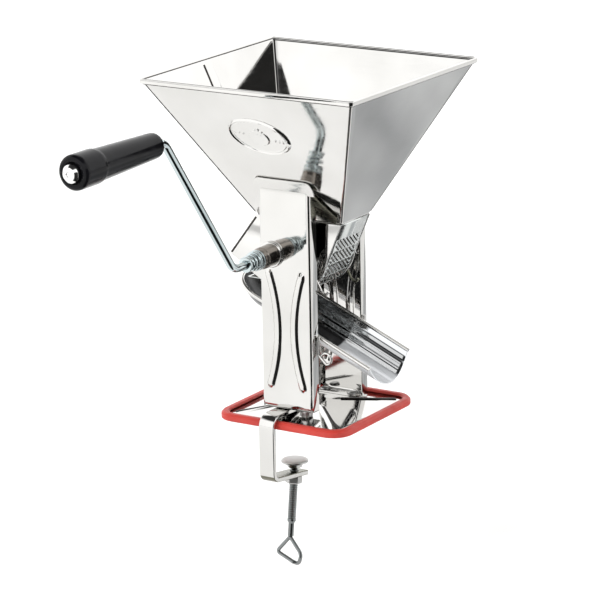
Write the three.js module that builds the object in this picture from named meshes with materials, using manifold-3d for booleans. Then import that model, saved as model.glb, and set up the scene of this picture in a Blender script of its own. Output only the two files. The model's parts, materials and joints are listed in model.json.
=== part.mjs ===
// Hand-cranked tomato strainer that clamps to the edge of a table.
// Millimetres. +X towards the outlet of the juice gutter, -Y towards the crank,
// +Z up. The origin is the centre of the base on the table top.
import * as THREE from "three";
import { mergeVertices } from "three/addons/utils/BufferGeometryUtils.js";
import Module from "manifold-3d";

const wasm = await Module();
wasm.setup();

// ---- driving dimensions ----
const SHEET = 1.2; // steel sheet of the stand and hopper
const GAP = 0.3; // room left between pieces that rest on each other
const SIDES = 16; // sides of turned pieces

const RIM_HALF = 97.5; // hopper mouth, half width
const RIM_Z = 283;
const HEM = { height: 4, width: 2 };
const THROAT_Z = 165; // where the hopper meets the strainer housing
const THROAT_HALF_X = 39.75;
const THROAT_HALF_Y = 21.3;
const BADGE = { x: -3.5, z: 241, halfLong: 27, halfTall: 17.5, rise: 0.8 };

const AXIS_X = -12; // crank axis, along Y
const AXIS_Z = 140;
const SHAFT_R = 3.4;
const SHAFT_BORE_R = 3.5;
const SHAFT_REAR_Y = 51;

const SCREEN_R = 37.5; // middle of the strainer sheet, about the crank axis
const SCREEN_SHEET = 1;
const SCREEN_END = -130; // degrees, where the round part ends on the peel side
const PEEL_LIP = { x: -50, z: 111.5 };
const APRON_END = { x: -64.5, z: 130 };

const HUB_R = 8.75;
const HUB_HOLE_R = 9.15;
const HUB_COLLAR_R = 10.6;
const HUB_NOSE_Y = -63;
const PADDLE_TIP_R = 36;
const PADDLES = 4;

const CRANK_Y = -98; // where the crank arm leaves the shaft
const CRANK_REACH = 72; // how far the arm leans out, to clear the hopper
const CRANK_ARM = 115; // from the shaft's axis to the grip's
const CRANK_LEAN = 6; // degrees from upright, towards -X
const CRANK_BEND = 12;
const GRIP = { innerY: -182, outerY: -286, innerR: 9.6, outerR: 13.1, bore: 3.5 };

const POST = { half: 23.5, web: 43, flange: 10, toe: 16 };
const SADDLE = { half: 28, top: 41, step: 24, low: 12 };
const RIB = { end: 15, middle: 7.6, top: 124, bottom: 35, width: 6.4, rise: 1.2 };

const BASE_HALF = 55;
const BASE_CORNER = 12;
const BASE_Z = 3.5; // underside of the flat edge of the base
const BASE_SHEET = 1.5;
const BASE_SLOPE = { outer: 50, inner: 9, rise: 5.6 };
const SEAL = { half: 60, inner: 51.5, height: 8.5, round: 2.4 };

const STRAP = { x: -6.5, width: 14, thick: 4, backY: -25, z: 10.9, frontY: -63.5 };
const FRONT_FOOT_Z = STRAP.z + STRAP.thick / 2 + GAP; // the front post stands on the strap
const ARM = { z: -40, droop: 8, tipY: -15 };
const SCREW = { y: -25, r: 3.6, below: 52, shoulder: 4.1, tip: 8.1 };
const PAD = { z: -34, r: 11, cavity: 3, boss: 6.2 }; // z is its top face, the rest is below it
const LOOP = { height: 24, half: 12, wire: 1.5 };

const GUTTER = { slope: 23.5, z: 83.4, half: 30, depth: 17, closed: -38, outlet: 80, sheet: 1, lip: 1.6 };

const X = new THREE.Vector3(1, 0, 0);
const Y = new THREE.Vector3(0, 1, 0);
const Z = new THREE.Vector3(0, 0, 1);

// ---- materials ----
function finish(color, roughness, metalness) {
  return new THREE.MeshStandardMaterial({ color, roughness, metalness });
}

const polishedSteel = () => finish(0xe4e2de, 0.16, 1);
const screenSteel = () => finish(0xb9bdbc, 0.3, 1);
const chromedRod = () => finish(0xd3dcda, 0.1, 1);
const hubSteel = () => finish(0x9b9389, 0.28, 1);
const darkZinc = () => finish(0x8d8f8c, 0.4, 1);
const redRubber = () => finish(0xd8483a, 0.6, 0);
const blackPlastic = () => finish(0x0c0d0f, 0.12, 0);
const whitePlastic = () => finish(0xdad8d0, 0.45, 0);

// ---- joining and cutting ----
function solid(geometry) {
  const bare = geometry.clone();
  for (const name of ["normal", "uv"]) {
    bare.deleteAttribute(name);
  }
  const merged = mergeVertices(bare, 1e-4);
  const vertProperties = new Float32Array(merged.attributes.position.array);
  const triVerts = new Uint32Array(merged.index.array);
  return new wasm.Manifold(new wasm.Mesh({ numProp: 3, vertProperties, triVerts }));
}

function geometryOf(manifold) {
  const mesh = manifold.getMesh();
  const geometry = new THREE.BufferGeometry();
  geometry.setAttribute("position", new THREE.BufferAttribute(new Float32Array(mesh.vertProperties), 3));
  geometry.setIndex(new THREE.BufferAttribute(new Uint32Array(mesh.triVerts), 1));
  return geometry;
}

function join(...geometries) {
  const [first, ...rest] = geometries.map(solid);
  return geometryOf(rest.reduce((sum, piece) => sum.add(piece), first));
}

function cut(geometry, ...tools) {
  return geometryOf(tools.map(solid).reduce((rest, tool) => rest.subtract(tool), solid(geometry)));
}

// ---- basic shapes ----
function box(x0, x1, y0, y1, z0, z1) {
  const geometry = new THREE.BoxGeometry(x1 - x0, y1 - y0, z1 - z0);
  return geometry.translate((x0 + x1) / 2, (y0 + y1) / 2, (z0 + z1) / 2);
}

// A box whose top and bottom differ in size.
function taperedBox(bottomX, bottomY, z0, topX, topY, z1) {
  const geometry = new THREE.BoxGeometry(2, 2, 2);
  const position = geometry.attributes.position;
  for (let i = 0; i < position.count; i += 1) {
    const top = position.getZ(i) > 0;
    const halfX = top ? topX : bottomX;
    const halfY = top ? topY : bottomY;
    position.setXYZ(i, position.getX(i) * halfX, position.getY(i) * halfY, top ? z1 : z0);
  }
  return geometry;
}

// A turned piece: [radius, distance] pairs about the line through at along axis.
function turned(profile, axis, at = new THREE.Vector3(), sides = SIDES) {
  const points = profile.map(([radius, along]) => new THREE.Vector2(radius, along));
  const geometry = new THREE.LatheGeometry(points, sides);
  geometry.applyQuaternion(new THREE.Quaternion().setFromUnitVectors(Y, axis));
  return geometry.translate(at.x, at.y, at.z);
}

const rod = (radius, from, to) => [[0, from], [radius, from], [radius, to], [0, to]];

function tube(bore, radius, from, to) {
  return [[bore, from], [radius, from], [radius, to], [bore, to], [bore, from]];
}

function shapeOf(points) {
  return new THREE.Shape(points.map(([a, b]) => new THREE.Vector2(a, b)));
}

// Outline of [x, z] points, thick along Y from y0 to y1.
function plateXZ(points, y0, y1) {
  const geometry = new THREE.ExtrudeGeometry(shapeOf(points), { depth: y1 - y0, bevelEnabled: false });
  geometry.applyMatrix4(new THREE.Matrix4().makeBasis(X, Z, Y.clone().negate()));
  return geometry.translate(0, y1, 0);
}

// Outline of [y, z] points, thick along X from x0 to x1.
function plateYZ(points, x0, x1) {
  const geometry = new THREE.ExtrudeGeometry(shapeOf(points), { depth: x1 - x0, bevelEnabled: false });
  geometry.applyMatrix4(new THREE.Matrix4().makeBasis(Y, Z, X));
  return geometry.translate(x0, 0, 0);
}

// Replaces each inner corner of a route by an arc of the given radius.
function rounded(route, radius, steps = 4) {
  const result = [route[0].clone()];
  for (let i = 1; i < route.length - 1; i += 1) {
    const back = route[i - 1].clone().sub(route[i]).normalize();
    const on = route[i + 1].clone().sub(route[i]).normalize();
    const turn = Math.PI - back.angleTo(on);
    const reach = radius * Math.tan(turn / 2);
    const middle = back.clone().add(on).normalize();
    const centre = route[i].clone().addScaledVector(middle, radius / Math.cos(turn / 2));
    const start = route[i].clone().addScaledVector(back, reach).sub(centre);
    const normal = back.clone().cross(on).normalize();
    for (let step = 0; step <= steps; step += 1) {
      result.push(centre.clone().add(start.clone().applyAxisAngle(normal, (-turn * step) / steps)));
    }
  }
  result.push(route.at(-1).clone());
  return result;
}

const flat = (pairs) => pairs.map(([a, b]) => new THREE.Vector3(a, b, 0));

// Closed outline of a sheet of the given thickness whose middle follows a flat route.
function sheetOutline(route, thickness) {
  const sides = [1, -1].map((side) =>
    route.map((point, i) => {
      const before = route[Math.max(i - 1, 0)];
      const after = route[Math.min(i + 1, route.length - 1)];
      const inward = point.clone().sub(before).normalize();
      const outward = after.clone().sub(point).normalize();
      const along = inward.clone().add(outward).normalize();
      const mitre = along.dot(outward.length() > 0 ? outward : inward);
      const offset = (side * thickness) / 2 / mitre;
      return [point.x - along.y * offset, point.y + along.x * offset];
    }),
  );
  return [...sides[0], ...sides[1].reverse()];
}

// A path that is sampled exactly at its own points.
class Route extends THREE.Curve {
  constructor(points) {
    super();
    this.points = points;
  }

  getPoint(t) {
    const place = t * (this.points.length - 1);
    const i = Math.min(Math.floor(place + 1e-9), this.points.length - 2);
    return this.points[i].clone().lerp(this.points[i + 1], place - i);
  }

  getPointAt(u) {
    return this.getPoint(u);
  }

  getTangentAt(u) {
    const step = 0.5 / (this.points.length - 1);
    const before = this.getPoint(Math.max(u - step, 0));
    return this.getPoint(Math.min(u + step, 1)).sub(before).normalize();
  }
}

function wire(points, radius, sides = 8) {
  const section = new THREE.Shape();
  for (let i = 0; i < sides; i += 1) {
    const angle = (2 * Math.PI * i) / sides;
    const corner = [radius * Math.cos(angle), radius * Math.sin(angle)];
    if (i === 0) {
      section.moveTo(...corner);
    } else {
      section.lineTo(...corner);
    }
  }
  section.closePath();
  const options = { steps: points.length - 1, extrudePath: new Route(points), bevelEnabled: false };
  return new THREE.ExtrudeGeometry(section, options);
}

const radians = THREE.MathUtils.degToRad;

// ---- the stand ----
const wallRun = (THROAT_HALF_Y - RIM_HALF) / (RIM_Z - THROAT_Z); // dy per dz of the front wall
const wallSlope = Math.atan(-wallRun);
const wallShift = GAP / Math.cos(wallSlope);

// The hopper's outside, grown by a clearance measured level.
function hopperOutside(grow) {
  const up = (z) => (z - THROAT_Z) / (RIM_Z - THROAT_Z);
  const half = (z, throat) => grow + THREE.MathUtils.lerp(throat, RIM_HALF - HEM.width / 2, up(z));
  const low = THROAT_Z - 2;
  const high = RIM_Z + 2;
  const bottom = [half(low, THROAT_HALF_X), half(low, THROAT_HALF_Y)];
  const top = [half(high, THROAT_HALF_X), half(high, THROAT_HALF_Y)];
  return { bottom, top, low, high };
}

function hopperBlock(grow) {
  const { bottom, top, low, high } = hopperOutside(grow);
  return taperedBox(bottom[0], bottom[1], low, top[0], top[1], high);
}

// Moves a piece drawn at the throat's front edge, X across and Y up the wall, onto the front wall.
function ontoFrontWall(geometry, away) {
  geometry.rotateX(Math.PI / 2 + wallSlope);
  const y = -THROAT_HALF_Y - away * Math.cos(wallSlope);
  return geometry.translate(0, y, THROAT_Z - away * Math.sin(wallSlope));
}

function hopper() {
  const wall = SHEET / Math.cos(wallSlope);
  const shell = cut(hopperBlock(0), hopperBlock(-wall));
  const outer = RIM_HALF;
  const inner = RIM_HALF - HEM.width;
  const ring = cut(
    box(-outer, outer, -outer, outer, RIM_Z - HEM.height, RIM_Z),
    box(-inner, inner, -inner, inner, RIM_Z - HEM.height - 1, RIM_Z + 1),
  );
  const trimmed = cut(
    shell,
    box(-200, 200, -200, 200, RIM_Z - 0.5, RIM_Z + 10),
    box(-200, 200, -200, 200, THROAT_Z - 10, THROAT_Z),
  );
  return join(trimmed, ring, badge());
}

// A plain raised oval on the front wall.
function badge() {
  const oval = new THREE.Shape();
  oval.absellipse(0, 0, BADGE.halfLong, BADGE.halfTall, 0, 2 * Math.PI);
  const options = { depth: BADGE.rise + 0.6, bevelEnabled: false, curveSegments: 12 };
  const geometry = new THREE.ExtrudeGeometry(oval, options);
  const up = (BADGE.z - THROAT_Z) / Math.cos(wallSlope);
  geometry.translate(BADGE.x, up, 0);
  return ontoFrontWall(geometry, -0.6);
}

// The plate that cradles the hopper: a broad top and two wings that reach the lower corners.
function saddleOutline() {
  const wing = THROAT_HALF_X - 1;
  const right = [
    [wing - 2, 1],
    [wing, 9.5],
    [SADDLE.half - 2, SADDLE.step - 3],
    [SADDLE.half - 2, SADDLE.top - 8],
    [SADDLE.half - 5, SADDLE.top - 2.5],
    [SADDLE.half - 11, SADDLE.top],
  ];
  const left = right.map(([x, up]) => [-x, up]).reverse();
  return [[-POST.half + 1, SADDLE.low], [POST.half - 1, SADDLE.low], ...right, ...left];
}

function saddle(side) {
  const geometry = new THREE.ExtrudeGeometry(shapeOf(saddleOutline()), { depth: SHEET, bevelEnabled: false });
  ontoFrontWall(geometry, GAP);
  return side < 0 ? geometry : geometry.rotateZ(Math.PI);
}

function rib(side, hand) {
  const middleZ = (RIB.top + RIB.bottom) / 2;
  const route = [];
  for (let i = 0; i <= 8; i += 1) {
    const z = THREE.MathUtils.lerp(RIB.bottom, RIB.top, i / 8);
    const away = ((z - middleZ) / (RIB.top - middleZ)) ** 2;
    route.push([hand * THREE.MathUtils.lerp(RIB.middle, RIB.end, away), z]);
  }
  const face = side * POST.web;
  const outline = sheetOutline(flat(route), RIB.width);
  const out = face + side * RIB.rise;
  return plateXZ(outline, Math.min(face - side * 0.5, out), Math.max(face - side * 0.5, out));
}

// A U-shaped sheet post: web outside, flanges turned in, foot turned in at the bottom, saddle at the top.
function post(side, footZ, toeZ, holes) {
  const span = (a, b) => [Math.min(side * a, side * b), Math.max(side * a, side * b)];
  const top = THROAT_Z + 40;
  const web = box(-POST.half, POST.half, ...span(POST.web - SHEET, POST.web), footZ, top);
  const flanges = [-1, 1].map((hand) => {
    const x = [hand * POST.half, hand * (POST.half - SHEET)].sort((a, b) => a - b);
    return box(...x, ...span(POST.web - POST.flange, POST.web), toeZ + 0.6, top);
  });
  const foot = plateYZ(
    [
      [side * POST.web, footZ],
      [side * (POST.web - POST.toe), toeZ],
      [side * (POST.web - POST.toe), toeZ + SHEET],
      [side * POST.web, footZ + SHEET],
    ],
    -POST.half + 4,
    POST.half - 4,
  );
  const ribs = [-1, 1].map((hand) => rib(side, hand));
  const upright = cut(join(web, ...flanges, foot, ...ribs), hopperBlock(wallShift), ...holes);
  return join(upright, saddle(side));
}

function hubHole(side) {
  const length = [side * 15, side * 50].sort((a, b) => a - b);
  return turned(rod(HUB_HOLE_R, ...length), Y, new THREE.Vector3(AXIS_X, 0, AXIS_Z));
}

// The base: a flat edge round a shallow pyramid.
function roundedSquare(half, corner, steps = 4) {
  const points = [];
  for (let quarter = 0; quarter < 4; quarter += 1) {
    for (let step = 0; step <= steps; step += 1) {
      const angle = (Math.PI / 2) * (quarter + step / steps);
      const sx = quarter === 0 || quarter === 3 ? 1 : -1;
      const sy = quarter < 2 ? 1 : -1;
      const x = sx * (half - corner) + corner * Math.cos(angle);
      points.push([x, sy * (half - corner) + corner * Math.sin(angle)]);
    }
  }
  return points;
}

function slab(half, corner, z0, z1) {
  const outline = shapeOf(roundedSquare(half, corner));
  const geometry = new THREE.ExtrudeGeometry(outline, { depth: z1 - z0, bevelEnabled: false });
  return geometry.translate(0, 0, z0);
}

// Height of the base's top face on the line of the posts.
function baseTop(y) {
  const { outer, inner, rise } = BASE_SLOPE;
  return BASE_Z + BASE_SHEET + (rise * (outer - Math.abs(y))) / (outer - inner);
}

function basePlate(holes) {
  const { outer, inner, rise } = BASE_SLOPE;
  const top = BASE_Z + BASE_SHEET;
  const body = join(
    slab(BASE_HALF, BASE_CORNER, BASE_Z, top),
    taperedBox(outer, outer, top - 0.01, inner, inner, top + rise),
  );
  const wide = outer - 1;
  const narrow = inner - 1;
  const hollow = taperedBox(wide, wide, BASE_Z - 0.01, narrow, narrow, top + rise - BASE_SHEET);
  return cut(body, hollow, ...holes);
}

function edgeSeal() {
  const shape = shapeOf(roundedSquare(SEAL.half - SEAL.round, BASE_CORNER + 4 - SEAL.round));
  const inside = roundedSquare(SEAL.inner + SEAL.round, BASE_CORNER - 2.5 + SEAL.round);
  shape.holes.push(new THREE.Path(inside.map(([a, b]) => new THREE.Vector2(a, b))));
  const bevel = { bevelThickness: SEAL.round, bevelSize: SEAL.round, bevelSegments: 2 };
  const options = { depth: SEAL.height - 2 * SEAL.round, ...bevel };
  const ring = new THREE.ExtrudeGeometry(shape, options).translate(0, 0, SEAL.round);
  const slot = slab(BASE_HALF + GAP, BASE_CORNER + GAP, BASE_Z - GAP, BASE_Z + BASE_SHEET + GAP);
  return cut(ring, slot);
}

// ---- fasteners of the stand ----
const RIVET = { shank: 2.4, hole: 2.8, head: 4.6, dome: 2 };
const FOOT_Y = 34;
const FRONT_RIVET_Z = FRONT_FOOT_Z + SHEET + GAP;
const STRAP_RIVET_X = STRAP.x;
const SPACER_X = 12;
const REAR_RIVET_X = 13;

function rivet(topZ, bottomZ) {
  const { shank, head, dome } = RIVET;
  const profile = [
    [0, bottomZ - 1.4],
    [head - 0.8, bottomZ - 1.4],
    [head - 0.8, bottomZ],
    [shank, bottomZ],
    [shank, topZ],
    [head, topZ],
    [head - 0.9, topZ + dome * 0.7],
    [0, topZ + dome],
  ];
  return profile;
}

const rearLean = Math.atan(BASE_SLOPE.rise / (BASE_SLOPE.outer - BASE_SLOPE.inner));
const rearUp = new THREE.Vector3(0, Math.sin(rearLean), Math.cos(rearLean));
const baseUnder = baseTop(FOOT_Y) - BASE_SHEET / Math.cos(rearLean); // under the base at the rivets

function frontRivet(x) {
  return turned(rivet(FRONT_RIVET_Z, baseUnder - 1), Z, new THREE.Vector3(x, -FOOT_Y, 0));
}

function rearRivet(x) {
  const at = new THREE.Vector3(x, FOOT_Y, baseTop(FOOT_Y));
  return turned(rivet(GAP * 2 + SHEET, -BASE_SHEET - GAP), rearUp, at);
}

const drill = (x, y, axis) => turned(rod(RIVET.hole, -20, 20), axis, new THREE.Vector3(x, y, baseTop(y)), 12);

function spacer() {
  const low = baseTop(FOOT_Y - 5) + GAP;
  return turned(tube(RIVET.hole, 5, low, FRONT_FOOT_Z - GAP), Z, new THREE.Vector3(SPACER_X, -FOOT_Y, 0));
}

// ---- strainer housing ----
const tangentAngle = (() => {
  const dx = THROAT_HALF_X - 0.6 - AXIS_X;
  const dz = THROAT_Z - GAP - AXIS_Z;
  return Math.atan2(dz, dx) - Math.acos(SCREEN_R / Math.hypot(dx, dz));
})();

// Middle line of the strainer sheet, from the throat, round under the paddles, to the peel lip.
function screenRoute() {
  const route = [[THROAT_HALF_X - 0.6, THROAT_Z - GAP]];
  const steps = 14;
  for (let step = 0; step <= steps; step += 1) {
    const angle = THREE.MathUtils.lerp(tangentAngle, radians(SCREEN_END), step / steps);
    route.push([AXIS_X + SCREEN_R * Math.cos(angle), AXIS_Z + SCREEN_R * Math.sin(angle)]);
  }
  route.push([PEEL_LIP.x, PEEL_LIP.z]);
  return route;
}

const CHEEK_INNER = THROAT_HALF_Y - SHEET;
const SCREEN_HALF = CHEEK_INNER - GAP;

// One slot of the strainer, cut square to the sheet at a place along its middle line.
function strainerSlot(along, y) {
  const route = flat(screenRoute());
  let left = along;
  let i = 0;
  while (left > route[i].distanceTo(route[i + 1])) {
    left -= route[i].distanceTo(route[i + 1]);
    i += 1;
  }
  const direction = route[i + 1].clone().sub(route[i]).normalize();
  const place = route[i].clone().addScaledVector(direction, left);
  const cutter = new THREE.BoxGeometry(6.4, 2.2, 4);
  cutter.rotateY(Math.atan2(-direction.y, direction.x));
  return cutter.translate(place.x, y, place.y);
}

function strainerScreen() {
  const sheet = plateXZ(sheetOutline(flat(screenRoute()), SCREEN_SHEET), -SCREEN_HALF, SCREEN_HALF);
  const slots = [];
  for (let row = 0; row < 9; row += 1) {
    for (let column = 0; column < 6; column += 1) {
      slots.push(strainerSlot(18 + row * 9, (column - 2.5 + (row % 2 ? 0.25 : -0.25)) * 5.4));
    }
  }
  return cut(sheet, ...slots);
}

function cheekOutline() {
  const points = [[-THROAT_HALF_X, THROAT_Z - GAP], [APRON_END.x, APRON_END.z]];
  const radius = SCREEN_R - SCREEN_SHEET / 2;
  const steps = 12;
  for (let step = steps; step >= 0; step -= 1) {
    const angle = THREE.MathUtils.lerp(tangentAngle, radians(SCREEN_END), step / steps);
    points.push([AXIS_X + (radius + 1) * Math.cos(angle), AXIS_Z + (radius + 1) * Math.sin(angle)]);
  }
  points.push([THROAT_HALF_X, THROAT_Z - GAP]);
  return points;
}

function cheek(side) {
  const y = [side * CHEEK_INNER, side * THROAT_HALF_Y].sort((a, b) => a - b);
  return cut(plateXZ(cheekOutline(), ...y), hubHole(side));
}

// The plate that keeps the peel from going round again.
function peelApron() {
  const route = [
    [-THROAT_HALF_X + 0.7, THROAT_Z - 0.7],
    [APRON_END.x + 1, APRON_END.z + 0.4],
    [APRON_END.x - 3, APRON_END.z - 1.6],
  ];
  return plateXZ(sheetOutline(flat(route), SCREEN_SHEET), -SCREEN_HALF, SCREEN_HALF);
}

function screenClip(side) {
  const y = side * (THROAT_HALF_Y + 1.4);
  const route = [
    new THREE.Vector3(14, y, 122),
    new THREE.Vector3(20.5, y, 109.5),
    new THREE.Vector3(25, y, 106),
    new THREE.Vector3(27.5, y, 109.5),
  ];
  return wire(rounded(route, 2, 3), 1.1);
}

// ---- bearings ----
function frontHub() {
  const outer = -POST.web - GAP;
  const profile = [
    [SHAFT_BORE_R, HUB_NOSE_Y],
    [HUB_R, HUB_NOSE_Y],
    [HUB_R, outer - 1.6],
    [HUB_COLLAR_R, outer - 1.6],
    [HUB_COLLAR_R, outer],
    [HUB_R, outer],
    [HUB_R, -CHEEK_INNER],
    [SHAFT_BORE_R, -CHEEK_INNER],
    [SHAFT_BORE_R, HUB_NOSE_Y],
  ];
  return turned(profile, Y, new THREE.Vector3(AXIS_X, 0, AXIS_Z));
}

function rearBearing() {
  const outer = POST.web + GAP;
  const profile = [
    [SHAFT_BORE_R, CHEEK_INNER],
    [HUB_R, CHEEK_INNER],
    [HUB_R, outer],
    [HUB_COLLAR_R, outer],
    [HUB_COLLAR_R, outer + 2.4],
    [SHAFT_BORE_R, outer + 2.4],
    [SHAFT_BORE_R, CHEEK_INNER],
  ];
  return turned(profile, Y, new THREE.Vector3(AXIS_X, 0, AXIS_Z));
}

// ---- crank and paddles ----
const crankDirection = new THREE.Vector3(-Math.sin(radians(CRANK_LEAN)), 0, Math.cos(radians(CRANK_LEAN)));
const crankEnd = new THREE.Vector3(AXIS_X, 0, AXIS_Z).addScaledVector(crankDirection, CRANK_ARM);

function crankRod() {
  const start = new THREE.Vector3(AXIS_X, SHAFT_REAR_Y, AXIS_Z);
  const heel = new THREE.Vector3(AXIS_X, CRANK_Y, AXIS_Z);
  const top = new THREE.Vector3(crankEnd.x, CRANK_Y - CRANK_REACH, crankEnd.z);
  const tip = new THREE.Vector3(crankEnd.x, GRIP.outerY - 3, crankEnd.z);
  const bar = wire(rounded([start, heel, top, tip], CRANK_BEND, 6), SHAFT_R, SIDES);
  return cut(bar, pinBlock(0.25));
}

// The cross pin's place through shaft and roller core.
function pinBlock(clearance) {
  const reach = 6.6 + (clearance > 0 ? 4 : 0);
  return turned(rod(1.2 + clearance, -reach, reach), Z, new THREE.Vector3(AXIS_X, 0, AXIS_Z), 8);
}

const CORE_HALF = CHEEK_INNER - 0.8;

function rollerCore() {
  const profile = tube(SHAFT_R + GAP, 7.4, -CORE_HALF, CORE_HALF);
  const core = turned(profile, Y, new THREE.Vector3(AXIS_X, 0, AXIS_Z));
  return cut(core, pinBlock(0.25));
}

function paddle(number) {
  const angle = (2 * Math.PI * (number + 0.5)) / PADDLES;
  const blade = plateXZ(
    [
      [7.4 + GAP, -2.2],
      [14, -1.3],
      [PADDLE_TIP_R - 5, -1],
      [PADDLE_TIP_R - 0.4, -3],
      [PADDLE_TIP_R - 0.4, -1],
      [PADDLE_TIP_R - 5, 1],
      [14, 1.3],
      [7.4 + GAP, 2.2],
    ],
    -CORE_HALF,
    CORE_HALF,
  );
  blade.rotateY(angle);
  return blade.translate(AXIS_X, 0, AXIS_Z);
}

function washer(y, radius, thickness) {
  return turned(tube(SHAFT_R + GAP, radius, y, y + thickness), Y, new THREE.Vector3(AXIS_X, 0, AXIS_Z));
}

const SPRING = { from: -77.6, to: -66.6, turns: 3.2, coil: 6.6, wire: 0.9 };

function crankSpring() {
  const points = [];
  const steps = Math.round(SPRING.turns * 10);
  for (let step = 0; step <= steps; step += 1) {
    const angle = (2 * Math.PI * SPRING.turns * step) / steps;
    const y = THREE.MathUtils.lerp(SPRING.from, SPRING.to, step / steps);
    const x = AXIS_X + SPRING.coil * Math.cos(angle);
    points.push(new THREE.Vector3(x, y, AXIS_Z + SPRING.coil * Math.sin(angle)));
  }
  return wire(points, SPRING.wire, 6);
}

function grip() {
  const { innerY, outerY, innerR, outerR, bore } = GRIP;
  const step = outerY + 27;
  const profile = [
    [bore, innerY],
    [innerR - 1.5, innerY],
    [innerR, innerY - 1.5],
    [outerR - 1.9, step + 1],
    [outerR - 0.6, step - 0.5],
    [outerR, outerY + 5],
    [outerR - 1.2, outerY + 1.6],
    [outerR - 4, outerY],
    [bore, outerY],
    [bore, innerY],
  ];
  return turned(profile.reverse(), Y, new THREE.Vector3(crankEnd.x, 0, crankEnd.z));
}

function gripCap() {
  const y = GRIP.outerY - GAP;
  const profile = [
    [0, y - 5.4],
    [2.6, y - 5],
    [5.4, y - 3.2],
    [6.4, y - 0.6],
    [6.4, y],
    [SHAFT_R + GAP, y],
    [SHAFT_R + GAP, y - 3.2],
    [0, y - 3.2],
  ];
  return turned(profile, Y, new THREE.Vector3(crankEnd.x, 0, crankEnd.z));
}

// ---- table clamp ----
const droop = radians(ARM.droop);
const armUp = new THREE.Vector3(0, Math.sin(droop), Math.cos(droop));
const armZ = (y) => ARM.z - (y - STRAP.frontY) * Math.tan(droop);
const screwAt = new THREE.Vector3(STRAP.x, SCREW.y, armZ(SCREW.y));

function clampBracket() {
  const route = [
    new THREE.Vector3(STRAP.backY, STRAP.z, 0),
    new THREE.Vector3(STRAP.frontY, STRAP.z, 0),
    new THREE.Vector3(STRAP.frontY, ARM.z, 0),
    new THREE.Vector3(ARM.tipY, armZ(ARM.tipY), 0),
  ];
  const outline = sheetOutline(rounded(route, 6, 5), STRAP.thick);
  const bar = plateYZ(outline, STRAP.x - STRAP.width / 2, STRAP.x + STRAP.width / 2);
  const screwHole = turned(rod(SCREW.r + 0.5, -8, 8), armUp, screwAt);
  return cut(bar, screwHole, drill(STRAP_RIVET_X, -FOOT_Y, Z));
}

function clampNut() {
  const low = -STRAP.thick / 2 - GAP;
  const hexagon = turned(rod(6.8, low - 6, low), armUp, screwAt, 6);
  return cut(hexagon, turned(rod(SCREW.r + 0.25, -20, 20), armUp, screwAt));
}

function clampScrew() {
  const profile = [
    [0, -SCREW.below],
    [SCREW.r, -SCREW.below],
    [SCREW.r, SCREW.shoulder - 1.6],
    [2.6, SCREW.shoulder],
    [2.6, SCREW.tip],
    [0, SCREW.tip],
  ];
  return turned(profile, armUp, screwAt);
}

// A round foot, level with the table, that sits over the screw's tip.
function pressurePad() {
  const tip = screwAt.clone().addScaledVector(armUp, SCREW.tip);
  const { z, r, cavity, boss } = PAD;
  const profile = [
    [0, z - cavity],
    [4.2, z - cavity],
    [4.2, z - boss],
    [6, z - boss],
    [6.4, z - cavity - 0.6],
    [r, z - 2.4],
    [r, z],
    [0, z],
  ];
  return turned(profile, Z, new THREE.Vector3(tip.x, tip.y, 0));
}

// A rounded triangle of wire hanging from the screw's lower end.
function wireLoop() {
  const top = -SCREW.below - LOOP.wire - GAP;
  const corner = (across, down) =>
    screwAt.clone().addScaledVector(armUp, top - down).add(new THREE.Vector3(across, 0, 0));
  const { half, height } = LOOP;
  const route = [
    corner(1.9, 0),
    corner(half, height * 0.7),
    corner(half - 5, height),
    corner(-half, height * 0.55),
    corner(-1.9, 0),
  ];
  return wire(rounded(route, 3, 4), LOOP.wire);
}

// ---- juice gutter ----
function troughSegment(half, depth) {
  const radius = (half * half + depth * depth) / (2 * depth);
  const reach = Math.asin(half / radius);
  const points = [];
  const steps = 10;
  for (let step = 0; step <= steps; step += 1) {
    const angle = THREE.MathUtils.lerp(-reach, reach, step / steps);
    points.push([radius * Math.sin(angle), radius - depth - radius * Math.cos(angle)]);
  }
  return points;
}

// Solid boat: a straight trough with a bowl at its closed end, flat on top.
function boat(half, depth, from, to, above) {
  const section = troughSegment(half, depth);
  const straight = plateYZ([...section, [half, above], [-half, above]], from, to);
  const profile = section.filter(([across]) => across > -1e-6);
  const bowl = turned([...profile, [half, above], [0, above]], Z, new THREE.Vector3(from, 0, 0), 20);
  return join(straight, bowl);
}

function juiceGutter() {
  const { half, depth, sheet, closed, outlet, lip } = GUTTER;
  const outside = boat(half, depth, closed, outlet, 0.01);
  const shell = cut(outside, boat(half - sheet, depth - sheet, closed, outlet + 5, 2));
  const edge = [new THREE.Vector3(outlet, half, 0)];
  for (let step = 0; step <= 12; step += 1) {
    const angle = Math.PI / 2 + (Math.PI * step) / 12;
    edge.push(new THREE.Vector3(closed + half * Math.cos(angle), half * Math.sin(angle), 0));
  }
  edge.push(new THREE.Vector3(outlet, -half, 0));
  const gutter = join(shell, wire(edge, lip, 8));
  gutter.rotateY(radians(GUTTER.slope));
  return gutter.translate(0, 0, GUTTER.z);
}

// A wire hook on the post's edge, curled under the gutter's rolled lip.
function gutterHook(side) {
  const y = side * (POST.web - POST.flange + 2);
  const centre = new THREE.Vector3(32, y, 58);
  const route = [new THREE.Vector3(POST.half + 1.5, y, 76), new THREE.Vector3(POST.half + 1.5, y, 60)];
  const points = rounded([...route, new THREE.Vector3(centre.x, y, centre.z - 4.6)], 3, 3);
  for (let step = 1; step <= 9; step += 1) {
    const angle = -Math.PI / 2 + (radians(250) * step) / 9;
    points.push(new THREE.Vector3(centre.x + 4.6 * Math.cos(angle), y, centre.z + 4.6 * Math.sin(angle)));
  }
  return wire(points, 1.1);
}

// ---- assembly ----
const press = new THREE.Group();

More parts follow.
